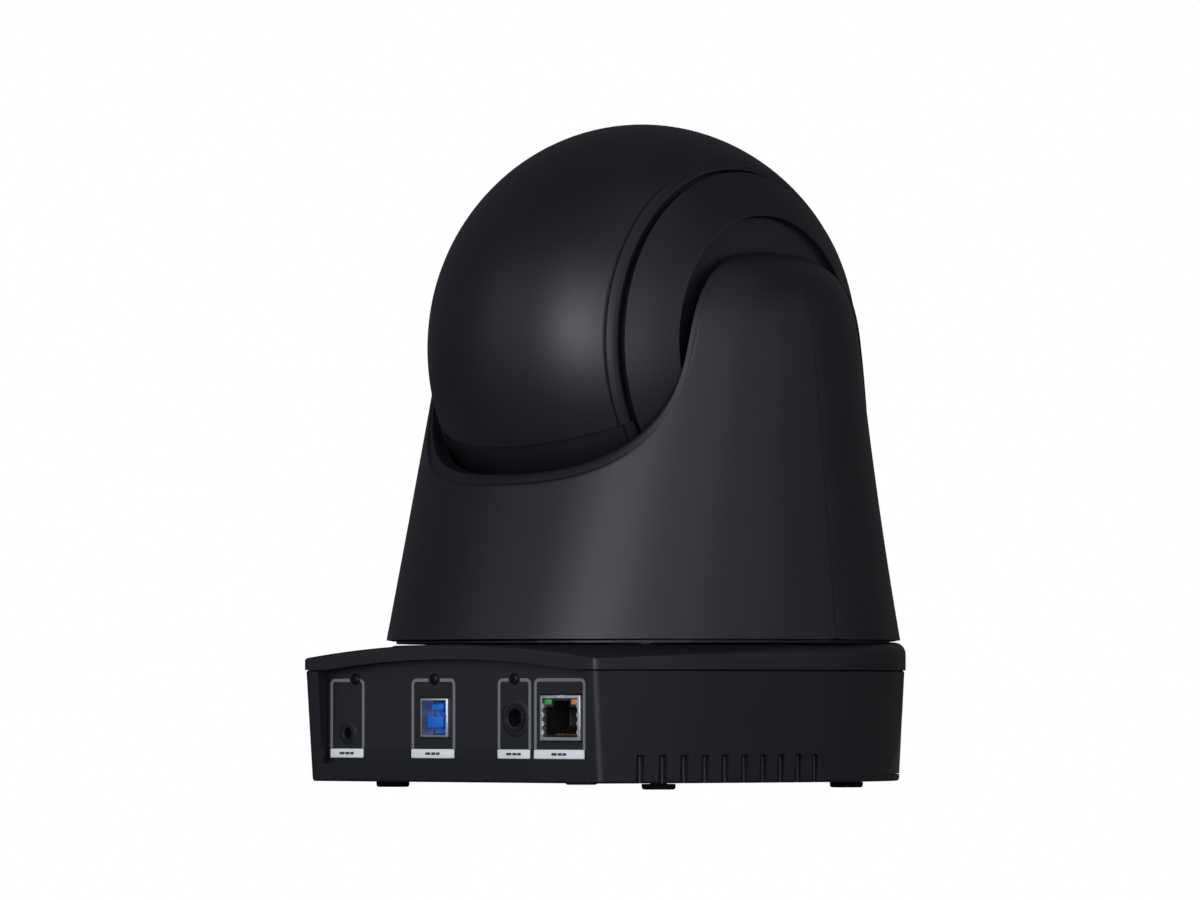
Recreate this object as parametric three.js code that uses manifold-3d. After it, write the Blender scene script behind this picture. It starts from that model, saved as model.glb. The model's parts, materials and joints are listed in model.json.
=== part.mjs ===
// Conference pan-tilt-zoom camera: low base, round turret that pans, ball head that tilts.
// Millimetres, +Z up, front at -Y. The camera's left is +X.
import * as THREE from 'three';
import { mergeVertices } from 'three/addons/utils/BufferGeometryUtils.js';
import Module from 'manifold-3d';

const wasm = await Module();
wasm.setup();

// ---------- driving dimensions ----------
const GAP = 0.3; // air between neighbouring pieces
const PAN_AXIS_Y = -3; // puts the middle of the footprint on the origin

const BASE = {
  halfWidth: 77.1, frontDepth: 77.1, rearDepth: 83.1, sideRadius: 190, cornerRadius: 1.5,
  bottom: 1.9, parting: 34.2, top: 41.4, crownDrop: 3.7, cornerX: 58, frontRise: 1.1, riseLength: 40,
  wall: 2.4, plateauRadius: 73, edgeRound: 3.4, rearRound: 0.9, holeRadius: 22,
};
const RECESS = { left: 52.5, right: -54, bottom: 7.1, top: 37.2, sag: 3.6, panelY: 78.4, margin: 1.8 };
const VENT = { count: 10, first: 69, last: 9, top: 10, width: 2.6, depth: 1.5 };
const WINDOW = { bottom: 4, top: 28, bottomX: 70, topX: 54, thickness: 1.2 };
const PLATE = { thickness: 2, chassisRadius: 62, chassisBottom: 9, chassisTop: 10.5 };
const FOOT = { radius: 4.85, height: 1.6, stemRadius: 2.4, x: 53, rearY: 51, frontY: -30 };
const BOARD = { top: 13.6, thickness: 1.6 };
const PAN = { motorY: -47, motorRadius: 17, hubPulley: 28, motorPulley: 7, spindle: 6 };
const TURRET = {
  bottom: 43, radius: 75.5, sideTaper: 0.0975, rearTaper: 0.283, frontTaper: 0.27, frontCurve: 0.00085,
  shoulder: 120, crown: 37.2, wall: 2.4,
};
const TURNTABLE = { bore: 7, rim: 67, radius: 72.6, deck: 71.2, bottom: 41.9, seat: 43.3, top: 46.3 };
const SLOT = {
  halfWidth: 49.4, power: 2.85, centre: 131, rearDrop: 40.3, frontDrop: 57, cheek: 53.3, relief: 43,
};
const CRADLE = {
  inner: 68.2, outer: 70.2, halfWidth: 40, from: -36, to: -128, legBottom: 46.6, legTop: 61.4,
};
const TILT_Z = 128.5;
const HEAD = {
  radius: 66.3, halfLength: 61, wall: 2.4, bead: 37.3, faceY: -54,
  capInner: 39, capOuter: 48.8, recess: 46.5, recessRadius: 37.5,
  seam: THREE.MathUtils.degToRad(27), lowerStep: 1.5,
};
const LENS = { outer: 25.5, inner: 22.4, glass: 22, carriage: 21.6, front: -60, rear: -20 };
const TILT = { shaft: 5, bracketX: 53.8, bracketThickness: 1.6, motorZ: 64, pulley: 14, motorPulley: 4 };

// ---------- finishes ----------
const FINISH = {
  shell: { color: 0x1d1e20, roughness: 0.58, metalness: 0 },
  gloss: { color: 0x0b0b0d, roughness: 0.12, metalness: 0 },
  rubber: { color: 0x151515, roughness: 0.9, metalness: 0 },
  steel: { color: 0xa9adb2, roughness: 0.35, metalness: 1 },
  aluminium: { color: 0xb9bcc0, roughness: 0.45, metalness: 1 },
  blackened: { color: 0x2a2a2b, roughness: 0.35, metalness: 0.8 },
  brass: { color: 0xb98d3e, roughness: 0.35, metalness: 1 },
  connector: { color: 0x111213, roughness: 0.45, metalness: 0 },
  blue: { color: 0x1748b4, roughness: 0.4, metalness: 0 },
  label: { color: 0xe6e7e8, roughness: 0.5, metalness: 0 },
  green: { color: 0x1fae3c, roughness: 0.3, metalness: 0 },
  amber: { color: 0xe08a17, roughness: 0.3, metalness: 0 },
  board: { color: 0x0d4a2c, roughness: 0.5, metalness: 0 },
  belt: { color: 0x101010, roughness: 0.8, metalness: 0 },
  glass: { color: 0x1a2026, roughness: 0.05, metalness: 0 },
};

// ---------- solids ----------
function signedVolume(positions, index) {
  const [a, b, c] = [new THREE.Vector3(), new THREE.Vector3(), new THREE.Vector3()];
  let total = 0;
  for (let i = 0; i < index.length; i += 3) {
    a.fromArray(positions, 3 * index[i]);
    b.fromArray(positions, 3 * index[i + 1]);
    c.fromArray(positions, 3 * index[i + 2]);
    total += a.dot(b.cross(c)) / 6;
  }
  return total;
}

function solid(geometry) {
  const bare = geometry.clone();
  bare.deleteAttribute('normal');
  bare.deleteAttribute('uv');
  const merged = mergeVertices(bare, 1e-4);
  const positions = new Float32Array(merged.attributes.position.array);
  const all = merged.index.array;
  const index = [];
  for (let i = 0; i < all.length; i += 3) {
    const [p, q, r] = [all[i], all[i + 1], all[i + 2]];
    if (p !== q && q !== r && r !== p) index.push(p, q, r);
  }
  if (signedVolume(positions, index) < 0) index.reverse();
  return new wasm.Manifold(
    new wasm.Mesh({ numProp: 3, vertProperties: positions, triVerts: new Uint32Array(index) }),
  );
}

const ordered = (a, b) => (a < b ? [a, b] : [b, a]);
const join = (...parts) => parts.reduce((sum, part) => sum.add(part));
const cut = (body, ...tools) => tools.reduce((rest, tool) => rest.subtract(tool), body);
const common = (...parts) => parts.reduce((rest, part) => rest.intersect(part));

function box(x0, x1, y0, y1, z0, z1) {
  const geometry = new THREE.BoxGeometry(x1 - x0, y1 - y0, z1 - z0);
  return solid(geometry.translate((x0 + x1) / 2, (y0 + y1) / 2, (z0 + z1) / 2));
}

// Points are (radius, distance along the axis), closed on themselves or ending on the axis.
function turned(points, axis = 'z', segments = 24) {
  const profile = points.map(([radius, along]) => new THREE.Vector2(radius, along));
  if (profile[0].x > 0) profile.push(profile[0].clone());
  const geometry = new THREE.LatheGeometry(profile, segments);
  if (axis === 'z') geometry.rotateX(Math.PI / 2);
  if (axis === 'x') geometry.rotateZ(-Math.PI / 2);
  return solid(geometry);
}

const rod = (radius, from, to, axis, segments) =>
  turned([[0, from], [radius, from], [radius, to], [0, to]], axis, segments);
const tube = (inner, outer, from, to, axis, segments) =>
  turned([[inner, from], [outer, from], [outer, to], [inner, to]], axis, segments);

function place(body, x, y, z) {
  return body.translate([x, y, z]);
}

// A flat outline in the X-Z plane, pushed along Y from y0 to y1.
function pushedAlongY(points, y0, y1) {
  const shape = new THREE.Shape(points.map(([x, z]) => new THREE.Vector2(x, z)));
  const geometry = new THREE.ExtrudeGeometry(shape, { depth: y1 - y0, bevelEnabled: false });
  return solid(geometry.rotateX(Math.PI / 2).translate(0, y1, 0));
}

// A flat outline in the Y-Z plane, pushed along X from x0 to x1.
function pushedAlongX(points, x0, x1) {
  const shape = new THREE.Shape(points.map(([y, z]) => new THREE.Vector2(y, z)));
  const geometry = new THREE.ExtrudeGeometry(shape, { depth: x1 - x0, bevelEnabled: false });
  return solid(geometry.rotateX(Math.PI / 2).rotateZ(Math.PI / 2).translate(x0, 0, 0));
}

// Skins a stack of rings of equal length and closes both ends.
function skinned(rings) {
  const count = rings[0].length;
  const vertices = rings.flat();
  const index = [];
  for (let i = 0; i < rings.length - 1; i += 1) {
    const [here, next] = [i * count, (i + 1) * count];
    for (let j = 0; j < count; j += 1) {
      const k = (j + 1) % count;
      index.push(here + j, here + k, next + k, here + j, next + k, next + j);
    }
  }
  for (const [first, ring] of [[0, rings[0]], [(rings.length - 1) * count, rings.at(-1)]]) {
    const middle = vertices.length;
    const sum = ring.reduce((total, point) => total.add(point), new THREE.Vector3());
    vertices.push(sum.divideScalar(count));
    for (let j = 0; j < count; j += 1) {
      const k = (j + 1) % count;
      index.push(middle, first + (first ? j : k), first + (first ? k : j));
    }
  }
  const geometry = new THREE.BufferGeometry().setFromPoints(vertices);
  return solid(geometry.setIndex(index));
}

// ---------- base plan: half round front, bowed sides, flat rear ----------
function basePlan(height, { side = 0, rear = side, front = side } = {}) {
  const width = BASE.halfWidth - side;
  const radius = BASE.sideRadius - side;
  const centre = width - radius;
  const back = BASE.rearDepth - rear;
  const cornerTurn = Math.asin(back / radius);
  const corner = centre + radius * Math.cos(cornerTurn);
  const sideTurn = cornerTurn - BASE.cornerRadius / radius;
  const flank = Array.from({ length: 7 }, (_, i) => {
    const turn = (i / 6) * sideTurn;
    return [centre + radius * Math.cos(turn), radius * Math.sin(turn)];
  });
  flank.push([corner - 0.3 * BASE.cornerRadius, back - 0.3 * BASE.cornerRadius]);
  const rearEdge = Array.from({ length: 7 }, (_, i) => [
    THREE.MathUtils.lerp(corner - BASE.cornerRadius, BASE.cornerRadius - corner, i / 6), back,
  ]);
  const mirrored = flank.map(([x, y]) => [-x, y]).reverse();
  const nose = Array.from({ length: 25 }, (_, i) => {
    const turn = Math.PI * (1 + (i + 1) / 26);
    return [width * Math.cos(turn), (BASE.frontDepth - front) * Math.sin(turn)];
  });
  const level = typeof height === 'function' ? height : () => height;
  return [...flank, ...rearEdge, ...mirrored, ...nose].map(
    ([x, y]) => new THREE.Vector3(x, y, level(x, y)),
  );
}

// The same number of points as the plan, pulled in to a circle.
function circleLikePlan(radius, z) {
  return basePlan(z).map((point) => {
    const turn = Math.atan2(point.y, point.x);
    return new THREE.Vector3(radius * Math.cos(turn), radius * Math.sin(turn), z);
  });
}

// The cover falls away to its rear corners and rises a little round the front.
const coverTop = (drop) => (x, y) => {
  const crown = BASE.crownDrop * (x / BASE.cornerX) ** 2 * (Math.max(y, 0) / BASE.rearDepth) ** 2;
  const rise = BASE.frontRise * THREE.MathUtils.smoothstep(-y, 0, BASE.riseLength);
  return BASE.top - drop - crown + rise;
};

// A ring of the cover's rounded edge, which is crisp at the rear and soft round the front.
function coverRing(pullShare, dropShare) {
  const inner = basePlan(0, { side: BASE.edgeRound });
  return basePlan(0).map(({ x, y }, i) => {
    const crisp = THREE.MathUtils.smoothstep(y, 20, 70);
    const round = THREE.MathUtils.lerp(BASE.edgeRound, BASE.rearRound, crisp);
    const share = (pullShare * round) / BASE.edgeRound;
    const across = THREE.MathUtils.lerp(x, inner[i].x, share);
    const along = THREE.MathUtils.lerp(y, inner[i].y, share);
    return new THREE.Vector3(across, along, coverTop(dropShare * round)(x, y));
  });
}

// Insets of the drafted lower body, from the parting line down to the bottom edge.
function lowerBlock(extra, z0 = BASE.bottom, z1 = BASE.parting - GAP) {
  const draft = (z) => (BASE.parting - z) / (BASE.parting - BASE.bottom);
  const ring = (z) => basePlan(z, {
    side: extra + 0.4 + 1.3 * draft(z),
    rear: extra + 0.3 + 2.4 * draft(z),
    front: extra + 0.4 + 2 * draft(z),
  });
  return skinned([ring(z0), ring(z1)]);
}

function recessOutline(margin, bottom = RECESS.bottom - margin) {
  const points = [[RECESS.left + margin, bottom]];
  for (let i = 0; i <= 8; i += 1) {
    const x = THREE.MathUtils.lerp(RECESS.left + margin, RECESS.right - margin, i / 8);
    points.push([x, RECESS.top + margin - RECESS.sag * (x / RECESS.right) ** 2]);
  }
  points.push([RECESS.right - margin, bottom]);
  return points;
}

const windowOutline = (grow) => [
  [-WINDOW.bottomX - grow, WINDOW.bottom - grow], [WINDOW.bottomX + grow, WINDOW.bottom - grow],
  [WINDOW.topX + grow, WINDOW.top + grow], [-WINDOW.topX - grow, WINDOW.top + grow],
];

function windowBlank(grow) {
  const skin = cut(lowerBlock(0.05 - grow), lowerBlock(0.05 + WINDOW.thickness + grow, 0, 35));
  return common(skin, pushedAlongY(windowOutline(grow), -90, -22));
}

function ventGrooves() {
  const centre = BASE.halfWidth - BASE.sideRadius;
  const grooves = [];
  for (let i = 0; i < VENT.count; i += 1) {
    const y = THREE.MathUtils.lerp(VENT.first, VENT.last, i / (VENT.count - 1));
    const surface = centre + Math.sqrt(BASE.sideRadius ** 2 - y ** 2) - 1.6;
    for (const sign of [1, -1]) {
      const [x0, x1] = ordered(sign * (surface - VENT.depth), sign * (surface + 4));
      grooves.push(box(x0, x1, y - VENT.width / 2, y + VENT.width / 2, 0, VENT.top));
    }
  }
  return grooves;
}

function bodyShell() {
  const outer = lowerBlock(0);
  const wall = cut(outer, lowerBlock(BASE.wall, -1, BASE.parting + 1));
  const collar = common(outer, pushedAlongY(recessOutline(RECESS.margin), RECESS.panelY + GAP, 90));
  return cut(
    join(wall, collar),
    pushedAlongY(recessOutline(0), 60, 90),
    windowBlank(GAP),
    ...ventGrooves(),
  );
}

function topCover() {
  const outerRings = [
    basePlan(BASE.parting), coverRing(0, 1), coverRing(0.3, 0.3), coverRing(1, 0),
    circleLikePlan(BASE.plateauRadius, BASE.top),
  ];
  const outer = skinned([...outerRings, circleLikePlan(BASE.holeRadius, BASE.top)]);
  const inner = skinned([
    basePlan(BASE.parting - 1, { side: BASE.wall }),
    basePlan(coverTop(BASE.edgeRound + 0.6), { side: BASE.wall }),
    circleLikePlan(BASE.plateauRadius - 4, BASE.top - BASE.wall),
    circleLikePlan(BASE.holeRadius, BASE.top - BASE.wall),
  ]);
  const collar = common(outer, pushedAlongY(recessOutline(RECESS.margin), RECESS.panelY + GAP, 90));
  const shell = join(cut(outer, inner), collar);
  const locating = place(tube(BASE.holeRadius - 2, BASE.holeRadius, -3, 4, 'z'), 0, 0, BASE.top - 4);
  return cut(
    join(shell, locating),
    pushedAlongY(recessOutline(0), 60, 90),
    pushedAlongY(recessOutline(RECESS.margin), RECESS.panelY - 2 - GAP, RECESS.panelY + GAP),
    rod(BASE.holeRadius - 2, 20, 60, 'z', 32),
  );
}

function bottomPlate() {
  const plan = { side: 1.9 + BASE.wall + GAP, rear: 2.9 + BASE.wall + GAP, front: 2.6 + BASE.wall + GAP };
  const underside = BASE.bottom + 0.1;
  const plate = skinned([basePlan(underside, plan), basePlan(underside + PLATE.thickness, plan)]);
  const holes = footPlaces().map(([x, y]) => place(rod(FOOT.stemRadius + GAP, -5, 5, 'z', 16), x, y, 3));
  return cut(plate, place(rod(7 + GAP, -5, 5, 'z', 20), 0, 0, 3), ...holes);
}

function footPlaces() {
  const places = [];
  for (const y of [FOOT.rearY, FOOT.frontY]) {
    for (const x of [FOOT.x, -FOOT.x]) places.push([x, y]);
  }
  return places;
}

function foot([x, y]) {
  const { radius, height, stemRadius } = FOOT;
  const profile = [[0, 0], [radius - 0.5, 0], [radius, 0.5], [radius, height], [stemRadius, height],
    [stemRadius, 5], [0, 5]];
  return place(turned(profile, 'z', 14), x, y, 0);
}

// ---------- rear connectors, on the panel from left (+X) to right ----------
const PORTS = {
  audio: { x: 44.3, z: 15.9, label: [37.8, 51.2] },
  usb: { x: 9, z: 20.4, label: [1.2, 18.3] },
  power: { x: -22.8, z: 20.4, label: [-28.8, -16.1] },
  network: { x: -40.8, z: 20.3, label: [-50, -30.4] },
};
const PANEL_SCREWS = [[41.3, 31.5], [9.4, 31.5], [-22.4, 31.5]];
const NETWORK = {
  width: 15.8, height: 13, depth: 15, mouthWidth: 12, mouthHeight: 8, mouthDepth: 11, latchHalf: 3.2,
};
const USB = { width: 11, height: 11.4, wall: 0.6, depth: 14 };
const POWER = { outer: 4.9, bore: 3, depth: 13, pin: 1 };
const AUDIO = { bezel: 2.7, bore: 1.75, depth: 12 };
const PROUD = { network: 0.6, usb: 0.8, tongue: 0.4, power: 0.8, audio: 0.6, label: 0.6, screw: 1.1 };
const LABEL_Z = [8.7, 11.4];

function ioPanel() {
  const { panelY, margin } = RECESS;
  const plate = common(
    pushedAlongY(recessOutline(margin - GAP, BASE.bottom + 2.6), panelY - 2, panelY),
    lowerBlock(BASE.wall + GAP, 0, 60),
  );
  const hole = (x0, x1, z0, z1) => box(x0 - GAP, x1 + GAP, 70, 90, z0 - GAP, z1 + GAP);
  const { network, usb, power, audio } = PORTS;
  return cut(
    plate,
    hole(network.x - NETWORK.width / 2, network.x + NETWORK.width / 2, BOARD.top + GAP, 26.9),
    hole(usb.x - USB.width / 2, usb.x + USB.width / 2, usb.z - USB.height / 2, usb.z + USB.height / 2),
    place(rod(POWER.outer + GAP, 70, 90, 'y', 32), power.x, 0, power.z),
    place(rod(AUDIO.bezel + GAP, 70, 90, 'y', 32), audio.x, 0, audio.z),
    ...PANEL_SCREWS.map(([x, z]) => place(rod(1.3 + GAP, 70, 90, 'y', 20), x, 0, z)),
  );
}

function networkJack() {
  const { x } = PORTS.network;
  const [z0, face] = [BOARD.top + GAP, RECESS.panelY + PROUD.network];
  const [half, mouth, back] = [NETWORK.width / 2, NETWORK.mouthWidth / 2, face - NETWORK.mouthDepth];
  const block = box(x - half, x + half, face - NETWORK.depth, face, z0, z0 + NETWORK.height);
  const opening = box(x - mouth, x + mouth, back, face + 1, z0 + 1.6, z0 + 1.6 + NETWORK.mouthHeight);
  const latch = box(x - NETWORK.latchHalf, x + NETWORK.latchHalf, back, face + 1, z0 + 9, z0 + 11.6);
  return cut(block, opening, latch, ...[1, -1].map((side) => ledSolid(side, GAP)));
}

function ledSolid(side, grow = 0) {
  const x = PORTS.network.x + side * (NETWORK.width / 2 - 2.2);
  const top = BOARD.top + GAP + NETWORK.height;
  const face = RECESS.panelY + PROUD.network + grow;
  const half = 1.5 + grow;
  return box(x - half, x + half, face - 5 - 2 * grow, face, top - 2.6 - grow, top - 0.7 + grow);
}

function usbShell() {
  const { x, z } = PORTS.usb;
  const face = RECESS.panelY + PROUD.usb;
  const [w, h] = [USB.width / 2, USB.height / 2];
  const outer = box(x - w, x + w, face - USB.depth, face, z - h, z + h);
  const [iw, ih] = [w - USB.wall, h - USB.wall];
  return cut(outer, box(x - iw, x + iw, face - USB.depth + 1, face + 1, z - ih, z + ih));
}

function usbTongue() {
  const { x, z } = PORTS.usb;
  const face = RECESS.panelY + PROUD.tongue;
  const tongue = box(x - 2.9, x + 2.9, face - 12, face, z - 2.6, z + 0.4);
  const root = box(x - 4.5, x + 4.5, face - 12, face - 9, z - 4.5, z + 4.5);
  return join(tongue, root);
}

function powerJack() {
  const { x, z } = PORTS.power;
  const face = RECESS.panelY + PROUD.power;
  const barrel = rod(POWER.outer, face - POWER.depth, face, 'y', 32);
  return place(cut(barrel, rod(POWER.bore, face - 10, face + 1, 'y', 28)), x, 0, z);
}

function powerPin() {
  const { x, z } = PORTS.power;
  const face = RECESS.panelY + PROUD.power;
  return place(rod(POWER.pin, face - 10 + GAP, face - 1.8, 'y', 16), x, 0, z);
}

function audioJack() {
  const { x, z } = PORTS.audio;
  const face = RECESS.panelY + PROUD.audio;
  const barrel = rod(AUDIO.bezel - 0.05, face - AUDIO.depth, face, 'y', 28);
  return place(cut(barrel, rod(AUDIO.bore, face - 10, face + 1, 'y', 24)), x, 0, z);
}

function portLabel([x0, x1]) {
  return box(x0, x1, RECESS.panelY + 0.2, RECESS.panelY + PROUD.label, ...LABEL_Z);
}

function panelScrew([x, z]) {
  const head = rod(1.7, RECESS.panelY + 0.3, RECESS.panelY + PROUD.screw, 'y', 16);
  return place(join(head, rod(1.25, RECESS.panelY - 4, RECESS.panelY + 0.5, 'y', 12)), x, 0, z);
}

// ---------- parts inside the base ----------
const BELT = { inner: 0.7, outer: 1.9 };
const PULLEY_Z = [23.5, 29.5];
const boardPlan = (top, thickness, y0, y1, half) => box(-half, half, y0, y1, top - thickness, top);

function mainBoard() {
  const board = boardPlan(BOARD.top, BOARD.thickness, 22, 74, 52);
  const chip = box(-9, 9, 38, 56, BOARD.top - 0.2, BOARD.top + 1.6);
  const heatBlock = box(20, 34, 40, 52, BOARD.top - 0.2, BOARD.top + 3);
  const { x } = PORTS.audio;
  return cut(join(board, chip, heatBlock), box(x - 3.2, x + 3.2, 65, 80, 5, 20));
}

function panChassisPlate() {
  const disc = common(
    rod(PLATE.chassisRadius, PLATE.chassisBottom, PLATE.chassisTop, 'z', 40), box(-70, 70, -70, 18, 0, 20),
  );
  return cut(disc, rod(5, 0, 20, 'z', 32));
}

const panBush = () => tube(PAN.spindle + GAP, 11, 10.8, 22.8, 'z', 24);
const panMotor = () => place(
  join(rod(PAN.motorRadius, 10.8, 22.4, 'z', 28), rod(2, 22, 23.1, 'z', 16)), 0, PAN.motorY, 0,
);

function pulley(radius, bore, from, to, axis) {
  const rim = Math.min(1.2, 0.16 * radius + 0.5);
  const profile = [[bore, from], [radius + rim, from], [radius + rim, from + 0.8], [radius, from + 0.8],
    [radius, to - 0.8], [radius + rim, to - 0.8], [radius + rim, to], [bore, to]];
  return turned(profile, axis, radius > 10 ? 36 : 18);
}

const panMotorPulley = () => place(
  pulley(PAN.motorPulley, 1, ...PULLEY_Z, 'z'), 0, PAN.motorY, 0,
);

// Outline of a belt round two pulleys, in the plane of their centres (0, 0) and (0, reach).
function beltOutline(nearRadius, farRadius, reach, offset, segments = 12) {
  const lean = Math.asin((nearRadius - farRadius) / Math.abs(reach));
  const away = Math.sign(reach);
  const points = [];
  const arc = (centre, radius, from, to) => {
    for (let i = 0; i <= segments; i += 1) {
      const turn = THREE.MathUtils.lerp(from, to, i / segments);
      points.push([(radius + offset) * Math.cos(turn), centre + away * (radius + offset) * Math.sin(turn)]);
    }
  };
  arc(0, nearRadius, Math.PI - lean, 2 * Math.PI + lean);
  arc(reach, farRadius, lean, Math.PI - lean);
  return points;
}

function beltLoop(nearRadius, farRadius, reach, push) {
  const outer = push(beltOutline(nearRadius, farRadius, reach, BELT.outer));
  return cut(outer, push(beltOutline(nearRadius, farRadius, reach, BELT.inner)));
}

function panBelt() {
  const [z0, z1] = [PULLEY_Z[0] + 1.2, PULLEY_Z[1] - 1.2];
  const flat = (points) => {
    const shape = new THREE.Shape(points.map(([x, y]) => new THREE.Vector2(x, y)));
    const geometry = new THREE.ExtrudeGeometry(shape, { depth: z1 - z0, bevelEnabled: false });
    return solid(geometry.translate(0, 0, z0));
  };
  return beltLoop(PAN.hubPulley, PAN.motorPulley, PAN.motorY, flat);
}

const irReceiver = () => join(box(24, 30, -66, -62, 14, 22), box(20, 34, -62.2, -60.6, 11, 24));
const tripodNut = () => cut(rod(7, 2, 8.4, 'z', 6), rod(3.1, 0, 6.4, 'z', 24));

// ---------- turret ----------
function turretRing(z, inset) {
  const rise = z - TURRET.bottom;
  const shoulder = Math.max(0, (z - TURRET.shoulder) / (TURRET.crown + 1.2));
  const round = (1 - Math.min(shoulder, 1) ** 4) ** 0.2;
  const scaled = (taper, curve = 0) =>
    (TURRET.radius - taper * rise + curve * rise ** 2) * round - inset;
  const across = scaled(TURRET.sideTaper);
  const rear = scaled(TURRET.rearTaper);
  const front = scaled(TURRET.frontTaper, TURRET.frontCurve);
  return Array.from({ length: 40 }, (_, i) => {
    const turn = (i / 40) * 2 * Math.PI;
    const along = Math.sin(turn);
    return new THREE.Vector3(across * Math.cos(turn), along * (along > 0 ? rear : front), z);
  });
}

function turretBlock(inset, bottom = TURRET.bottom) {
  const top = TURRET.shoulder + TURRET.crown - inset;
  const heights = [bottom, 75, 110, 130, 141, 148.5, 153, 155.5].filter((z) => z < top);
  return skinned([...heights, top].map((z) => turretRing(z, inset)));
}

function slotOutline(grow, drop) {
  const half = SLOT.halfWidth + grow;
  const points = [[half, 200], [-half, 200]];
  for (let i = 0; i <= 16; i += 1) {
    const turn = Math.PI * (1 + i / 16);
    const [c, s] = [Math.cos(turn), Math.sin(turn)];
    const bulge = 2 / SLOT.power;
    points.push([
      half * Math.sign(c) * Math.abs(c) ** bulge,
      SLOT.centre - (drop + grow) * Math.abs(s) ** bulge,
    ]);
  }
  return points;
}

function turretShell(side) {
  const half = side > 0 ? box(-90, 90, GAP / 2, 90, 0, 200) : box(-90, 90, -90, -GAP / 2, 0, 200);
  const block = turretBlock(0);
  const skin = cut(block, turretBlock(TURRET.wall, TURRET.bottom - 1));
  const cheeks = [1, -1].map((sign) => {
    const [x0, x1] = ordered(sign * SLOT.halfWidth, sign * SLOT.cheek);
    return common(block, box(x0, x1, -90, 90, 84, 200));
  });
  const drop = side > 0 ? SLOT.rearDrop : SLOT.frontDrop;
  return cut(
    common(join(skin, ...cheeks), half),
    pushedAlongY(slotOutline(0, drop), -90, 90),
    place(rod(9, -60, 60, 'x', 24), 0, 0, TILT_Z),
    place(rod(SLOT.relief, -SLOT.halfWidth, SLOT.halfWidth, 'x', 40), 0, 0, TILT_Z),
  );
}

function cradle() {
  const from = THREE.MathUtils.degToRad(CRADLE.from);
  const to = THREE.MathUtils.degToRad(CRADLE.to);
  const points = [];
  for (const [radius, start, end] of [[CRADLE.outer, from, to], [CRADLE.inner, to, from]]) {
    for (let i = 0; i <= 20; i += 1) {
      const turn = THREE.MathUtils.lerp(start, end, i / 20);
      points.push([radius * Math.cos(turn), TILT_Z + radius * Math.sin(turn)]);
    }
  }
  const bowl = pushedAlongX(points, -CRADLE.halfWidth, CRADLE.halfWidth);
  const legs = [[-30, 14], [24, 14], [-30, -20], [24, -20]].map(([x, y]) =>
    box(x, x + 6, y, y + 6, CRADLE.legBottom, CRADLE.legTop));
  return common(join(bowl, ...legs), turretBlock(TURRET.wall + GAP));
}

function turntable() {
  const { bore, rim, radius, deck, bottom, seat, top } = TURNTABLE;
  const profile = [[bore, seat], [rim, seat], [rim, bottom], [radius, bottom], [radius, seat - GAP],
    [deck, seat], [deck, top], [bore, top]];
  return turned(profile, 'z', 40);
}

function panHub() {
  const profile = [[0, 11.2], [PAN.spindle, 11.2], [PAN.spindle, 23.5], [PAN.hubPulley + 1.2, 23.5],
    [PAN.hubPulley + 1.2, 24.3], [PAN.hubPulley, 24.3], [PAN.hubPulley, 28.7],
    [PAN.hubPulley + 1.2, 28.7], [PAN.hubPulley + 1.2, 29.5], [12, 29.5], [12, 42.9], [6.6, 42.9],
    [6.6, 48.5], [0, 48.5]];
  return turned(profile, 'z', 28);
}

// ---------- tilt drive, in the turret arms ----------
function tiltBracket(sign) {
  const [x0, x1] = ordered(sign * TILT.bracketX, sign * (TILT.bracketX + TILT.bracketThickness));
  const outline = [[-26, 46.6], [26, 46.6], [17, 118], [17, 140], [9, 148],
    [-9, 148], [-17, 140], [-17, 118]];
  const plate = pushedAlongX(outline, x0, x1);
  const inward = ordered(sign * (TILT.bracketX - 10), sign * (TILT.bracketX + 1));
  const foot = box(...inward, -26, 26, 46.6, 48.4);
  return cut(
    join(plate, foot),
    place(rod(7.4, -70, 70, 'x', 32), 0, 0, TILT_Z),
    place(rod(5.5, -70, 70, 'x', 24), 0, 0, TILT.motorZ),
  );
}

function tiltBush(sign) {
  const span = ordered(sign * (TILT.bracketX - 0.6), sign * (TILT.bracketX + 2));
  return place(tube(TILT.shaft + GAP, 7.1, ...span, 'x', 20), 0, 0, TILT_Z);
}

const tiltMotor = () => place(
  join(rod(13.5, -53.4, -45, 'x', 28), rod(4, -55, -53, 'x', 20)), 0, 0, TILT.motorZ,
);
const tiltMotorPulley = () => place(pulley(TILT.motorPulley, 1, -59.8, -55.9, 'x'), 0, 0, TILT.motorZ);

function tiltBelt() {
  const push = (points) => pushedAlongX(points, -58.9, -57);
  const loop = beltLoop(TILT.pulley, TILT.motorPulley, TILT.motorZ - TILT_Z, push);
  return place(loop, 0, 0, TILT_Z);
}

function tiltShaft(sign) {
  const toward = (...points) => points.map(([radius, x]) => [radius, sign * x]);
  const drive = toward([0, 43.4], [12, 43.4], [12, 46.9], [TILT.shaft, 46.9], [TILT.shaft, 56.1],
    [TILT.pulley + 1, 56.1], [TILT.pulley + 1, 56.8], [TILT.pulley, 56.8], [TILT.pulley, 59.1],
    [TILT.pulley + 1, 59.1], [TILT.pulley + 1, 59.8], [0, 59.8]);
  const idle = toward([0, 43.4], [12, 43.4], [12, 46.9], [TILT.shaft, 46.9], [TILT.shaft, 58], [0, 58]);
  return turned(sign < 0 ? drive : idle, 'x', 24);
}

// ---------- head, about the tilt axis ----------
function headRadius(x) {
  return HEAD.radius * Math.sqrt(1 - (x / HEAD.halfLength) ** 2);
}

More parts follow.
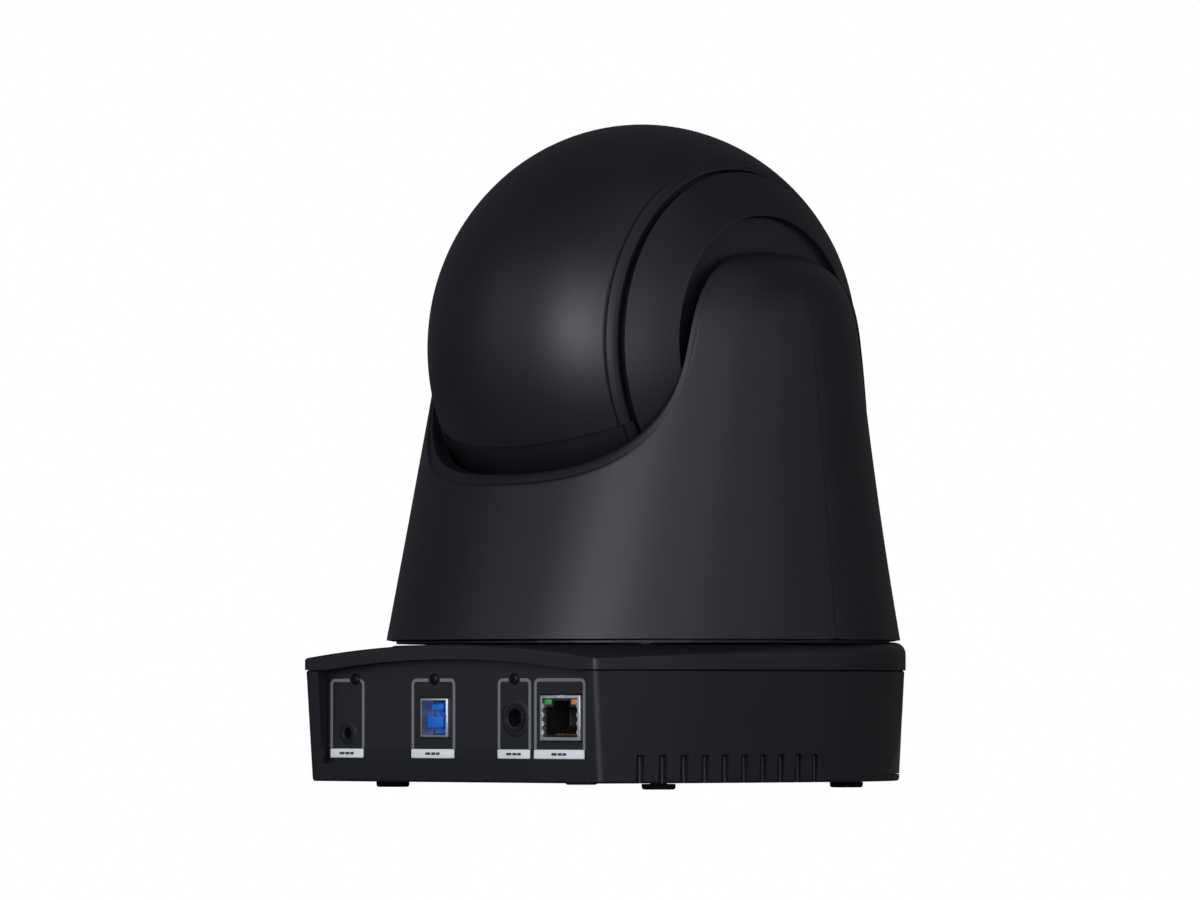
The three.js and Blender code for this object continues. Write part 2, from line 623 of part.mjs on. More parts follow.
function headSkin(shrink) {
  const steps = 8;
  const span = (from, to, less) => Array.from({ length: steps + 1 }, (_, i) => {
    const x = THREE.MathUtils.lerp(from, to, i / steps);
    return [headRadius(x) - less, x];
  });
  const outside = span(-HEAD.bead, HEAD.bead, shrink);
  const inside = span(HEAD.bead, -HEAD.bead, shrink + HEAD.wall);
  return turned([...outside, ...inside], 'x', 40);
}

// Wedge below the two seams, which fall away to the rear and to the front.
function seamWedge(grow) {
  const reach = 90;
  const fall = reach * Math.tan(HEAD.seam);
  const points = [[0, grow], [-reach, grow - fall], [-reach, -reach], [reach, -reach], [reach, grow - fall]];
  return pushedAlongX(points, -70, 70);
}

const faceCut = () => box(-80, 80, -90, HEAD.faceY, -80, 80);

const headMainShell = () => cut(headSkin(0), seamWedge(GAP), faceCut());
const headLowerShell = () => cut(common(headSkin(HEAD.lowerStep), seamWedge(0)), faceCut());

function headCap(sign) {
  const steps = 3;
  const reach = HEAD.halfLength * Math.sqrt(1 - (HEAD.recessRadius / HEAD.radius) ** 2);
  const squeeze = (HEAD.capOuter - HEAD.capInner) / (reach - HEAD.capInner);
  const outer = Array.from({ length: steps + 1 }, (_, i) => {
    const x = THREE.MathUtils.lerp(HEAD.capInner + 0.9, reach, i / steps);
    return [headRadius(x), sign * (HEAD.capInner + (x - HEAD.capInner) * squeeze)];
  });
  const rim = headRadius(HEAD.capInner);
  const bore = 12 + GAP;
  return turned([
    [rim - 4, sign * (HEAD.bead + GAP)], [rim - 3, sign * HEAD.capInner], [rim - 1, sign * HEAD.capInner],
    ...outer, [HEAD.recessRadius - 0.2, sign * HEAD.recess], [bore, sign * HEAD.recess],
    [bore, sign * (HEAD.recess - 2)], [35, sign * (HEAD.recess - 2)], [35, sign * (HEAD.bead + GAP)],
  ], 'x', 32);
}

function frontBezel() {
  const tall = Math.sqrt(HEAD.radius ** 2 - HEAD.faceY ** 2);
  const wide = (tall * HEAD.halfLength) / HEAD.radius;
  const profile = [[0, -51.5], [30, -51.5], [30, -54.3], [tall - 0.6, -54.3], [tall - 1.4, -55.3],
    [LENS.outer + 3, -56.6], [0, -56.6]];
  const plate = turned(profile, 'y', 40).scale([wide / tall, 1, 1]);
  return cut(plate, rod(LENS.outer + GAP, -60, -50, 'y', 36));
}

function lensBarrel() {
  const { outer, inner, front, rear } = LENS;
  const profile = [[inner, front + 3], [outer - 1.2, front], [outer, front + 1.2], [outer, -57],
    [outer - 0.2, -50], [outer - 0.2, rear], [inner, rear]];
  return turned(profile, 'y', 32);
}

function lensGlass() {
  const profile = [[0, LENS.front + 4]];
  for (let i = 0; i <= 3; i += 1) {
    const radius = (LENS.glass * (3 - i)) / 3;
    profile.push([radius, LENS.front + 0.2 + 2.2 * (radius / LENS.glass) ** 2]);
  }
  profile.splice(1, 0, [LENS.glass, LENS.front + 4]);
  return turned(profile, 'y', 24);
}

const lensCarriage = (y) => turned([[0, y], [LENS.carriage, y], [LENS.carriage, y + 3],
  [15, y + 3], [15, y + 5], [0, y + 5]], 'y', 20);

function cameraChassis() {
  const frame = cut(box(-29, 29, -19.6, 6, -29, 29), box(-27, 27, -18, 7, -27, 27));
  const ears = [1, -1].map((sign) => {
    const [x0, x1] = ordered(sign * 28, sign * 43);
    return box(x0, x1, -8, 6, -8, 8);
  });
  return cut(join(frame, ...ears), rod(20, -30, -10, 'y', 32));
}

const sensorBoard = () => join(box(-25, 25, -6, -4.4, -25, 25), box(-9, 9, -8, -5.8, -7, 7));

// ---------- assembly ----------
const camera = new THREE.Group();
camera.position.set(0, PAN_AXIS_Y, 0);
const head = new THREE.Group();
head.position.set(0, 0, TILT_Z);
camera.add(head);

function add(name, body, finish, group = camera) {
  const { vertProperties, triVerts } = body.getMesh();
  const geometry = new THREE.BufferGeometry();
  geometry.setAttribute('position', new THREE.BufferAttribute(vertProperties, 3));
  geometry.setIndex(new THREE.BufferAttribute(triVerts, 1));
  geometry.computeVertexNormals();
  const mesh = new THREE.Mesh(geometry, new THREE.MeshStandardMaterial({ name: finish, ...FINISH[finish] }));
  mesh.name = name;
  group.add(mesh);
}

function addBase() {
  add('base_body_shell', bodyShell(), 'shell');
  add('base_top_cover', topCover(), 'shell');
  add('base_bottom_plate', bottomPlate(), 'steel');
  footPlaces().forEach((spot, i) => add(`rubber_foot_${i + 1}`, foot(spot), 'rubber'));
  add('front_ir_window', windowBlank(0), 'gloss');
  add('main_board', mainBoard(), 'board');
  add('pan_chassis_plate', panChassisPlate(), 'steel');
  add('pan_bush', panBush(), 'brass');
  add('pan_motor', panMotor(), 'aluminium');
  add('pan_motor_pulley', panMotorPulley(), 'brass');
  add('pan_belt', panBelt(), 'belt');
  add('ir_receiver', irReceiver(), 'connector');
  add('tripod_nut', tripodNut(), 'brass');
}

function addRearPanel() {
  add('rear_io_panel', ioPanel(), 'shell');
  add('network_jack', networkJack(), 'connector');
  add('network_led_green', ledSolid(1), 'green');
  add('network_led_amber', ledSolid(-1), 'amber');
  add('usb_jack_shell', usbShell(), 'steel');
  add('usb_jack_tongue', usbTongue(), 'blue');
  add('power_jack', powerJack(), 'connector');
  add('power_pin', powerPin(), 'steel');
  add('audio_jack', audioJack(), 'connector');
  for (const [port, { label }] of Object.entries(PORTS)) add(`port_label_${port}`, portLabel(label), 'label');
  PANEL_SCREWS.forEach((spot, i) => add(`panel_screw_${i + 1}`, panelScrew(spot), 'blackened'));
}

function addTurret() {
  add('turret_rear_shell', turretShell(1), 'shell');
  add('turret_front_shell', turretShell(-1), 'shell');
  add('turret_cradle', cradle(), 'shell');
  add('turntable', turntable(), 'shell');
  add('pan_hub', panHub(), 'aluminium');
  add('tilt_bracket_left', tiltBracket(1), 'steel');
  add('tilt_bracket_right', tiltBracket(-1), 'steel');
  add('tilt_bush_left', tiltBush(1), 'brass');
  add('tilt_bush_right', tiltBush(-1), 'brass');
  add('tilt_motor', tiltMotor(), 'aluminium');
  add('tilt_motor_pulley', tiltMotorPulley(), 'brass');
  add('tilt_belt', tiltBelt(), 'belt');
}

function addHead() {
  add('head_main_shell', headMainShell(), 'shell', head);
  add('head_lower_shell', headLowerShell(), 'shell', head);
  add('head_cap_left', headCap(1), 'shell', head);
  add('head_cap_right', headCap(-1), 'shell', head);
  add('front_bezel', frontBezel(), 'gloss', head);
  add('lens_barrel', lensBarrel(), 'gloss', head);
  add('lens_front_glass', lensGlass(), 'glass', head);
  add('zoom_carriage', lensCarriage(-46), 'connector', head);
  add('focus_carriage', lensCarriage(-31), 'connector', head);
  add('camera_chassis', cameraChassis(), 'aluminium', head);
  add('sensor_board', sensorBoard(), 'board', head);
  add('tilt_shaft_drive', tiltShaft(-1), 'steel', head);
  add('tilt_shaft_idle', tiltShaft(1), 'steel', head);
}

addBase();
addRearPanel();
addTurret();
addHead();

export default camera;
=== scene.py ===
"""Looks of a conference pan-tilt-zoom camera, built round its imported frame.

Sizes are millimetres from the pan axis at floor level, +Z up, front at -Y, until a
piece is finished, when it is moved onto the frame and turned into metres.
"""

import json
import logging
import math
from dataclasses import dataclass, field
from enum import Enum
from typing import Callable, Iterable, Optional, Sequence

import bmesh
import bpy
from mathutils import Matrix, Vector


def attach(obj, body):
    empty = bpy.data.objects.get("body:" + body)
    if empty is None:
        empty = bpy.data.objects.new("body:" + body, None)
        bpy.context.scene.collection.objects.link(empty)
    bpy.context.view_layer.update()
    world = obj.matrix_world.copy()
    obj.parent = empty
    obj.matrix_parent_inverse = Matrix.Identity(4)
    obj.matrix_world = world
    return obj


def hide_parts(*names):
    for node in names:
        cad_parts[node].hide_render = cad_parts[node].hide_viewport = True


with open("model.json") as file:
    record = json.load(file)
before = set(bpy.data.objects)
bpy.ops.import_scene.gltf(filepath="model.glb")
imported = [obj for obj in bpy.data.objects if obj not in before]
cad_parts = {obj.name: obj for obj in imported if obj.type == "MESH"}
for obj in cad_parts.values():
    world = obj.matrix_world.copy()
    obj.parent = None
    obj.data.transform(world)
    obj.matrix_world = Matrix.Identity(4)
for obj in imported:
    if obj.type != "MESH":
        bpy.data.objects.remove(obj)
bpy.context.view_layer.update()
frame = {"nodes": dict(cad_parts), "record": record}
LOG = logging.getLogger("camera")

MM = 0.001
PAN_AXIS_Y = -3.0
TILT_Z = 128.5
Point = tuple[float, float]


class Body(Enum):
    """Rigid bodies of the frame that new pieces ride on."""

    BASE = "base"
    TURRET = "turret"
    HEAD = "head"


# ---------------------------------------------------------------- finishes


@dataclass(frozen=True)
class Finish:
    """One surface finish, turned into a node material on demand.

    Args:
        name: Material name and record slot.
        colour: Linear base colour.
        roughness: Middle roughness.
        metallic: 1 for bare metal.
        mottle: How far the colour drifts, as a share.
        drift: Size of the slow colour and roughness drift, in millimetres.
        grain: Size of the surface texture, in millimetres.
        depth: Height of the surface texture, in millimetres.
        coat: Strength of a clear top layer.
        wear: How much paler the edges are rubbed.
        brushed: Stretch of the grain along X, for brushed metal.
        specular: Strength of the surface reflection.
        transmission: Share of light let through.
    """

    name: str
    colour: tuple[float, float, float]
    roughness: float
    metallic: float = 0.0
    mottle: float = 0.12
    drift: float = 18.0
    grain: float = 0.35
    depth: float = 0.01
    coat: float = 0.0
    wear: float = 0.0
    brushed: float = 1.0
    specular: float = 0.5
    transmission: float = 0.0

    def material(self) -> bpy.types.Material:
        """Returns the node material, making it the first time."""
        known = bpy.data.materials.get(f"finish_{self.name}")
        if known:
            return known
        made = bpy.data.materials.new(f"finish_{self.name}")
        made.use_nodes = True
        tree = made.node_tree
        shader = tree.nodes["Principled BSDF"]
        shader.inputs["Metallic"].default_value = self.metallic
        shader.inputs["Coat Weight"].default_value = self.coat
        shader.inputs["Coat Roughness"].default_value = 0.06
        shader.inputs["Specular IOR Level"].default_value = self.specular
        shader.inputs["Transmission Weight"].default_value = self.transmission
        place = tree.nodes.new("ShaderNodeTexCoord").outputs["Object"]
        drift = self._noise(tree, place, 1.0 / (self.drift * MM), 3.0)
        colour = self._ramp(tree, drift, 1.0 - self.mottle, 1.0 + self.mottle)
        if self.wear:
            colour = self._worn(tree, colour)
        tree.links.new(colour, shader.inputs["Base Color"])
        rough = tree.nodes.new("ShaderNodeMapRange")
        rough.inputs["To Min"].default_value = self.roughness * 0.9
        rough.inputs["To Max"].default_value = min(1.0, self.roughness * 1.1)
        fine = self._noise(tree, place, 0.6 / (self.grain * MM), 2.0)
        tree.links.new(self._mean(tree, drift, fine), rough.inputs["Value"])
        tree.links.new(rough.outputs["Result"], shader.inputs["Roughness"])
        self._texture(tree, place, shader)
        return made

    @staticmethod
    def _noise(tree: bpy.types.NodeTree, place: bpy.types.NodeSocket, scale: float, detail: float):
        """Returns the value of a noise of that scale on the object's own coordinates."""
        noise = tree.nodes.new("ShaderNodeTexNoise")
        noise.inputs["Scale"].default_value = scale
        noise.inputs["Detail"].default_value = detail
        tree.links.new(place, noise.inputs["Vector"])
        return noise.outputs["Fac"]

    @staticmethod
    def _mean(tree: bpy.types.NodeTree, first, second):
        """Returns the mean of two values."""
        mean = tree.nodes.new("ShaderNodeMath")
        mean.operation = "MULTIPLY_ADD"
        half = tree.nodes.new("ShaderNodeMath")
        half.operation = "MULTIPLY"
        half.inputs[1].default_value = 0.5
        tree.links.new(second, half.inputs[0])
        tree.links.new(first, mean.inputs[0])
        mean.inputs[1].default_value = 0.5
        tree.links.new(half.outputs[0], mean.inputs[2])
        return mean.outputs[0]

    def _ramp(self, tree: bpy.types.NodeTree, value, low: float, high: float):
        """Returns the base colour, darker and paler with the value."""
        ramp = tree.nodes.new("ShaderNodeValToRGB")
        for stop, share in zip(ramp.color_ramp.elements, (low, high)):
            stop.color = (*[min(1.0, c * share) for c in self.colour], 1.0)
        ramp.color_ramp.elements[0].position = 0.3
        ramp.color_ramp.elements[1].position = 0.7
        tree.links.new(value, ramp.inputs["Fac"])
        return ramp.outputs["Color"]

    def _worn(self, tree: bpy.types.NodeTree, colour):
        """Returns the colour, paler where an edge stands out."""
        geometry = tree.nodes.new("ShaderNodeNewGeometry")
        edge = tree.nodes.new("ShaderNodeMapRange")
        edge.inputs["From Min"].default_value = 0.52
        edge.inputs["From Max"].default_value = 0.62
        edge.inputs["To Max"].default_value = self.wear
        tree.links.new(geometry.outputs["Pointiness"], edge.inputs["Value"])
        mix = tree.nodes.new("ShaderNodeMix")
        mix.data_type = "RGBA"
        tree.links.new(edge.outputs["Result"], mix.inputs["Factor"])
        tree.links.new(colour, mix.inputs["A"])
        mix.inputs["B"].default_value = (*[min(1.0, 2.2 * c + 0.01) for c in self.colour], 1.0)
        return mix.outputs["Result"]

    def _texture(self, tree: bpy.types.NodeTree, place, shader: bpy.types.Node) -> None:
        """Gives the shader the fine relief of the moulded, cast or brushed surface."""
        turn = tree.nodes.new("ShaderNodeMapping")
        turn.inputs["Scale"].default_value = (1.0 / self.brushed, 1.0, 1.0)
        tree.links.new(place, turn.inputs["Vector"])
        relief = self._noise(tree, turn.outputs["Vector"], 1.0 / (self.grain * MM), 4.0)
        bump = tree.nodes.new("ShaderNodeBump")
        bump.inputs["Strength"].default_value = 0.5
        bump.inputs["Distance"].default_value = self.depth * MM
        tree.links.new(relief, bump.inputs["Height"])
        tree.links.new(bump.outputs["Normal"], shader.inputs["Normal"])


class Finishes:
    """The finishes of this object, by the record's slot names."""

    SHELL = Finish("shell", (0.0066, 0.0073, 0.0096), 0.43, grain=0.5, depth=0.006, wear=0.2)
    GLOSS = Finish("gloss", (0.002, 0.002, 0.003), 0.12, mottle=0.05, depth=0.001, specular=0.3)
    RUBBER = Finish("rubber", (0.011, 0.011, 0.011), 0.85, grain=0.6, depth=0.03)
    STEEL = Finish("steel", (0.62, 0.63, 0.65), 0.34, 0.85, grain=0.25, depth=0.006, brushed=14)
    ALUMINIUM = Finish("aluminium", (0.5, 0.51, 0.53), 0.42, 1.0, grain=0.4, depth=0.02)
    BRASS = Finish("brass", (0.52, 0.36, 0.12), 0.28, 1.0, grain=0.3, depth=0.004, brushed=8)
    CONNECTOR = Finish("connector", (0.009, 0.009, 0.010), 0.38, grain=0.3, depth=0.005, wear=0.2)
    BLUE = Finish("blue", (0.004, 0.17, 0.72), 0.34, grain=0.3, depth=0.004)
    LABEL = Finish("label", (0.93, 0.94, 0.95), 0.48, mottle=0.03, grain=0.2, depth=0.002)
    GREEN = Finish("green", (0.03, 0.42, 0.07), 0.22, mottle=0.08, depth=0.002, coat=0.4)
    AMBER = Finish("amber", (0.72, 0.30, 0.02), 0.22, mottle=0.08, depth=0.002, coat=0.4)
    BOARD = Finish("board", (0.010, 0.095, 0.040), 0.42, grain=0.8, depth=0.01, coat=0.3)
    BELT = Finish("belt", (0.008, 0.008, 0.008), 0.72, grain=0.5, depth=0.05)
    GLASS = Finish("glass", (0.006, 0.008, 0.012), 0.03, mottle=0.2, drift=30, depth=0.0005, coat=1.0)
    INK = Finish("ink", (0.05, 0.05, 0.055), 0.5, mottle=0.04, grain=0.2, depth=0.002)
    BLACKENED = Finish("blackened", (0.007, 0.007, 0.008), 0.45, 0.6, grain=0.2, depth=0.004)
    PRINT = Finish("print", (0.20, 0.20, 0.21), 0.5, mottle=0.05, grain=0.2, depth=0.002)

    @classmethod
    def by_slot(cls, slot: str) -> Finish:
        """Returns the finish of a slot of the record."""
        return getattr(cls, slot.upper())


# ---------------------------------------------------------------- bench tools


class Bench:
    """Turns bmesh work into finished pieces on the frame."""

    SMOOTH_ANGLE = math.radians(32)

    @classmethod
    def piece(
        cls,
        name: str,
        work: bmesh.types.BMesh,
        finish: Finish,
        body: Body,
        stands_for: Sequence[str] = (),
        slot: Optional[str] = None,
        wall: float = 0.0,
        soften: float = 0.0,
        steps: int = 3,
    ) -> bpy.types.Object:
        """Makes an object from a bmesh in millimetres.

        Args:
            name: Piece name.
            work: The bmesh, which is used up.
            finish: Its finish.
            body: The body that it rides on.
            stands_for: CAD nodes that it replaces.
            slot: Record slot, when not the finish's own name. Not used.
            wall: Wall thickness that a Solidify modifier adds inwards, in millimetres.
            soften: Width of the bevel on its sharp edges, in millimetres.
            steps: Segments of that bevel.

        Returns:
            The finished object.
        """
        bmesh.ops.remove_doubles(work, verts=work.verts, dist=1e-4)
        bmesh.ops.scale(work, vec=(MM, MM, MM), verts=work.verts)
        bmesh.ops.translate(work, vec=(0, PAN_AXIS_Y * MM, 0), verts=work.verts)
        bmesh.ops.recalc_face_normals(work, faces=work.faces)
        rims = [index for index, edge in enumerate(work.edges) if edge.is_boundary]
        data = bpy.data.meshes.new(name)
        work.to_mesh(data)
        work.free()
        data.shade_smooth()
        made = bpy.data.objects.new(name, data)
        bpy.context.scene.collection.objects.link(made)
        data.materials.append(finish.material())
        if wall:
            solid = made.modifiers.new("wall", "SOLIDIFY")
            solid.thickness = wall * MM
            solid.offset = -1.0
        if soften:
            bevel = made.modifiers.new("soften", "BEVEL")
            bevel.width = soften * MM
            bevel.segments = steps
            bevel.limit_method = "ANGLE"
            bevel.angle_limit = cls.SMOOTH_ANGLE
            bevel.harden_normals = False
            even = made.modifiers.new("even", "WEIGHTED_NORMAL")
            even.keep_sharp = True
            even.weight = 60
        else:
            data.set_sharp_from_angle(angle=cls.SMOOTH_ANGLE)
        for index in rims:
            data.edges[index].use_edge_sharp = True
        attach(made, body.value)
        slot or finish.name
        if stands_for:
            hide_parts(*stands_for)
        LOG.info("made %s on %s", name, body.value)
        return made

    @staticmethod
    def carve(base: bmesh.types.BMesh, tool: bmesh.types.BMesh, how: str) -> bmesh.types.BMesh:
        """Joins or cuts two closed bmeshes.

        Args:
            base: The piece that is worked on, used up.
            tool: The other solid, used up.
            how: DIFFERENCE, UNION or INTERSECT.

        Returns:
            The result as a new bmesh.
        """
        pair = []
        for work in (base, tool):
            bmesh.ops.recalc_face_normals(work, faces=work.faces)
            data = bpy.data.meshes.new("carve")
            work.to_mesh(data)
            work.free()
            item = bpy.data.objects.new("carve", data)
            bpy.context.scene.collection.objects.link(item)
            pair.append(item)
        cut = pair[0].modifiers.new("cut", "BOOLEAN")
        cut.operation = how
        cut.solver = "EXACT"
        cut.object = pair[1]
        bpy.context.view_layer.update()
        result = bmesh.new()
        result.from_object(pair[0], bpy.context.evaluated_depsgraph_get())
        for item in pair:
            data = item.data
            bpy.data.objects.remove(item)
            bpy.data.meshes.remove(data)
        return result


def spun(
    profile: Iterable[Point], axis: str = "X", steps: int = 96, closed: bool = False
) -> bmesh.types.BMesh:
    """Spins a profile a full turn.

    Args:
        profile: Points as (radius, distance along the axis).
        axis: X, Y or Z.
        steps: Segments of the turn.
        closed: Whether the profile's ends are joined.

    Returns:
        The turned bmesh.
    """
    work = bmesh.new()
    along = {"X": Vector((1, 0, 0)), "Y": Vector((0, 1, 0)), "Z": Vector((0, 0, 1))}[axis]
    out = {"X": Vector((0, 0, 1)), "Y": Vector((0, 0, 1)), "Z": Vector((0, 1, 0))}[axis]
    verts = [work.verts.new(out * radius + along * far) for radius, far in profile]
    edges = [work.edges.new(pair) for pair in zip(verts, verts[1:])]
    if closed:
        edges.append(work.edges.new((verts[-1], verts[0])))
    bmesh.ops.spin(
        work, geom=verts + edges, cent=(0, 0, 0), axis=along, angle=math.tau, steps=steps,
        use_merge=True, use_normal_flip=False, use_duplicate=False, dvec=(0, 0, 0),
    )
    bmesh.ops.remove_doubles(work, verts=work.verts, dist=1e-4)
    bmesh.ops.recalc_face_normals(work, faces=work.faces)
    return work


def moved(work: bmesh.types.BMesh, x: float = 0.0, y: float = 0.0, z: float = 0.0) -> bmesh.types.BMesh:
    """Moves everything in a bmesh and returns it."""
    bmesh.ops.translate(work, vec=(x, y, z), verts=work.verts)
    return work


def gathered(*parts: bmesh.types.BMesh) -> bmesh.types.BMesh:
    """Puts several bmeshes into one and returns it."""
    whole = bmesh.new()
    for part in parts:
        data = bpy.data.meshes.new("part")
        part.to_mesh(data)
        part.free()
        whole.from_mesh(data)
        bpy.data.meshes.remove(data)
    return whole


def block(x: Point, y: Point, z: Point, round_by: float = 0.0, segments: int = 3) -> bmesh.types.BMesh:
    """Makes a box with rounded edges.

    Args:
        x: Low and high X.
        y: Low and high Y.
        z: Low and high Z.
        round_by: Edge radius.
        segments: Segments of each rounded edge.

    Returns:
        The box as a bmesh.
    """
    work = bmesh.new()
    bmesh.ops.create_cube(work, size=1.0)
    bmesh.ops.scale(work, vec=(x[1] - x[0], y[1] - y[0], z[1] - z[0]), verts=work.verts)
    moved(work, (x[0] + x[1]) / 2, (y[0] + y[1]) / 2, (z[0] + z[1]) / 2)
    if round_by:
        bmesh.ops.bevel(
            work, geom=work.edges, offset=round_by, segments=segments, affect="EDGES",
            profile=0.5, material=-1, clamp_overlap=True,
        )
    return work


def pushed(outline: Sequence[Point], y: Point) -> bmesh.types.BMesh:
    """Pushes a flat outline in the X-Z plane along Y.

    Args:
        outline: Points as (x, z).
        y: Where the push starts and ends.

    Returns:
        The prism as a bmesh.
    """
    work = bmesh.new()
    face = work.faces.new([work.verts.new((px, y[0], pz)) for px, pz in outline])
    grown = bmesh.ops.extrude_face_region(work, geom=[face])
    tip = [item for item in grown["geom"] if isinstance(item, bmesh.types.BMVert)]
    bmesh.ops.translate(work, vec=(0, y[1] - y[0], 0), verts=tip)
    bmesh.ops.recalc_face_normals(work, faces=work.faces)
    return work


def draped(columns: int, rows: int, place: Callable[[float, float], Vector]) -> bmesh.types.BMesh:
    """Lays a grid over a surface.

    Args:
        columns: Faces along u.
        rows: Faces along v.
        place: Gives the point for u and v, each from 0 to 1.

    Returns:
        The grid as a bmesh.
    """
    work = bmesh.new()
    bmesh.ops.create_grid(work, x_segments=columns, y_segments=rows, size=0.5)
    for vert in work.verts:
        vert.co = place(vert.co.x + 0.5, vert.co.y + 0.5)
    return work


def lerp(low: float, high: float, share: float) -> float:
    """Returns the value that far from low to high."""
    return low + (high - low) * share


def smooth(low: float, high: float, value: float) -> float:
    """Returns 0 below low, 1 above high, and an S curve between."""
    share = min(1.0, max(0.0, (value - low) / (high - low)))
    return share * share * (3 - 2 * share)


# ---------------------------------------------------------------- base


@dataclass
class BasePlan:
    """The base seen from above: half round front, bowed sides, flat rear."""

    half_width: float = 77.1
    front: float = 77.1
    rear: float = 83.1
    side_radius: float = 190.0
    corner_radius: float = 1.6
    bottom: float = 1.9
    parting: float = 34.2
    top: float = 41.4
    crown_drop: float = 3.7
    corner_x: float = 58.0
    front_rise: float = 0.95
    rise_length: float = 40.0

    def outline(self, side: float = 0.0, rear: Optional[float] = None,
                front: Optional[float] = None) -> list[Point]:
        """Returns the plan's outline, anticlockwise from the middle of the left side.

        Args:
            side: How far the sides are pulled in.
            rear: How far the rear is pulled in, as the sides when left out.
            front: How far the front is pulled in, as the sides when left out.
        """
        rear = side if rear is None else rear
        front = side if front is None else front
        width = self.half_width - side
        radius = self.side_radius - side
        centre = width - radius
        back = self.rear - rear
        turn = math.asin(back / radius) - self.corner_radius / radius
        flank = [
            (centre + radius * math.cos(turn * i / 24), radius * math.sin(turn * i / 24)) for i in range(25)
        ]
        corner = centre + math.sqrt(radius ** 2 - back ** 2)
        start, end = flank[-1], (corner - self.corner_radius, back)
        bend = [
            (lerp(lerp(start[0], corner, t), lerp(corner, end[0], t), t),
             lerp(lerp(start[1], back, t), lerp(back, end[1], t), t))
            for t in (0.2, 0.4, 0.6, 0.8)
        ]
        edge = [(lerp(end[0], -end[0], i / 24), back) for i in range(25)]
        half = flank + bend
        sweep = [math.pi * (1 + i / 72) for i in range(1, 72)]
        nose = [(width * math.cos(t), (self.front - front) * math.sin(t)) for t in sweep]
        return half + edge + [(-x, y) for x, y in reversed(half)] + nose

    def crown(self, x: float, y: float) -> float:
        """Returns how far the cover's top falls away towards the rear corners."""
        fall = self.crown_drop * (x / self.corner_x) ** 2 * (max(y, 0.0) / self.rear) ** 2
        return fall - self.front_rise * smooth(0, self.rise_length, -y)

    def stack(self, rings: Sequence[Sequence[Vector]], cap: bool = True) -> bmesh.types.BMesh:
        """Joins rings of points into a skin by extruding each from the last.

        Args:
            rings: Rings with the same number of points.
            cap: Whether the first and last ring are closed by a face.

        Returns:
            The skin as a bmesh.
        """
        work = bmesh.new()
        verts = [work.verts.new(point) for point in rings[0]]
        edges = [work.edges.new((verts[i - 1], verts[i])) for i in range(1, len(verts))]
        edges.append(work.edges.new((verts[-1], verts[0])))
        if cap:
            work.faces.new(verts)
        for ring in rings[1:]:
            grown = bmesh.ops.extrude_edge_only(work, edges=edges)["geom"]
            edges = [item for item in grown if isinstance(item, bmesh.types.BMEdge)]
            links = {}
            for vert in verts:
                for edge in vert.link_edges:
                    other = edge.other_vert(vert)
                    if other in grown:
                        links[vert] = other
            verts = [links[vert] for vert in verts]
            for vert, point in zip(verts, ring):
                vert.co = point
        if cap:
            work.faces.new(verts)
        bmesh.ops.recalc_face_normals(work, faces=work.faces)
        return work


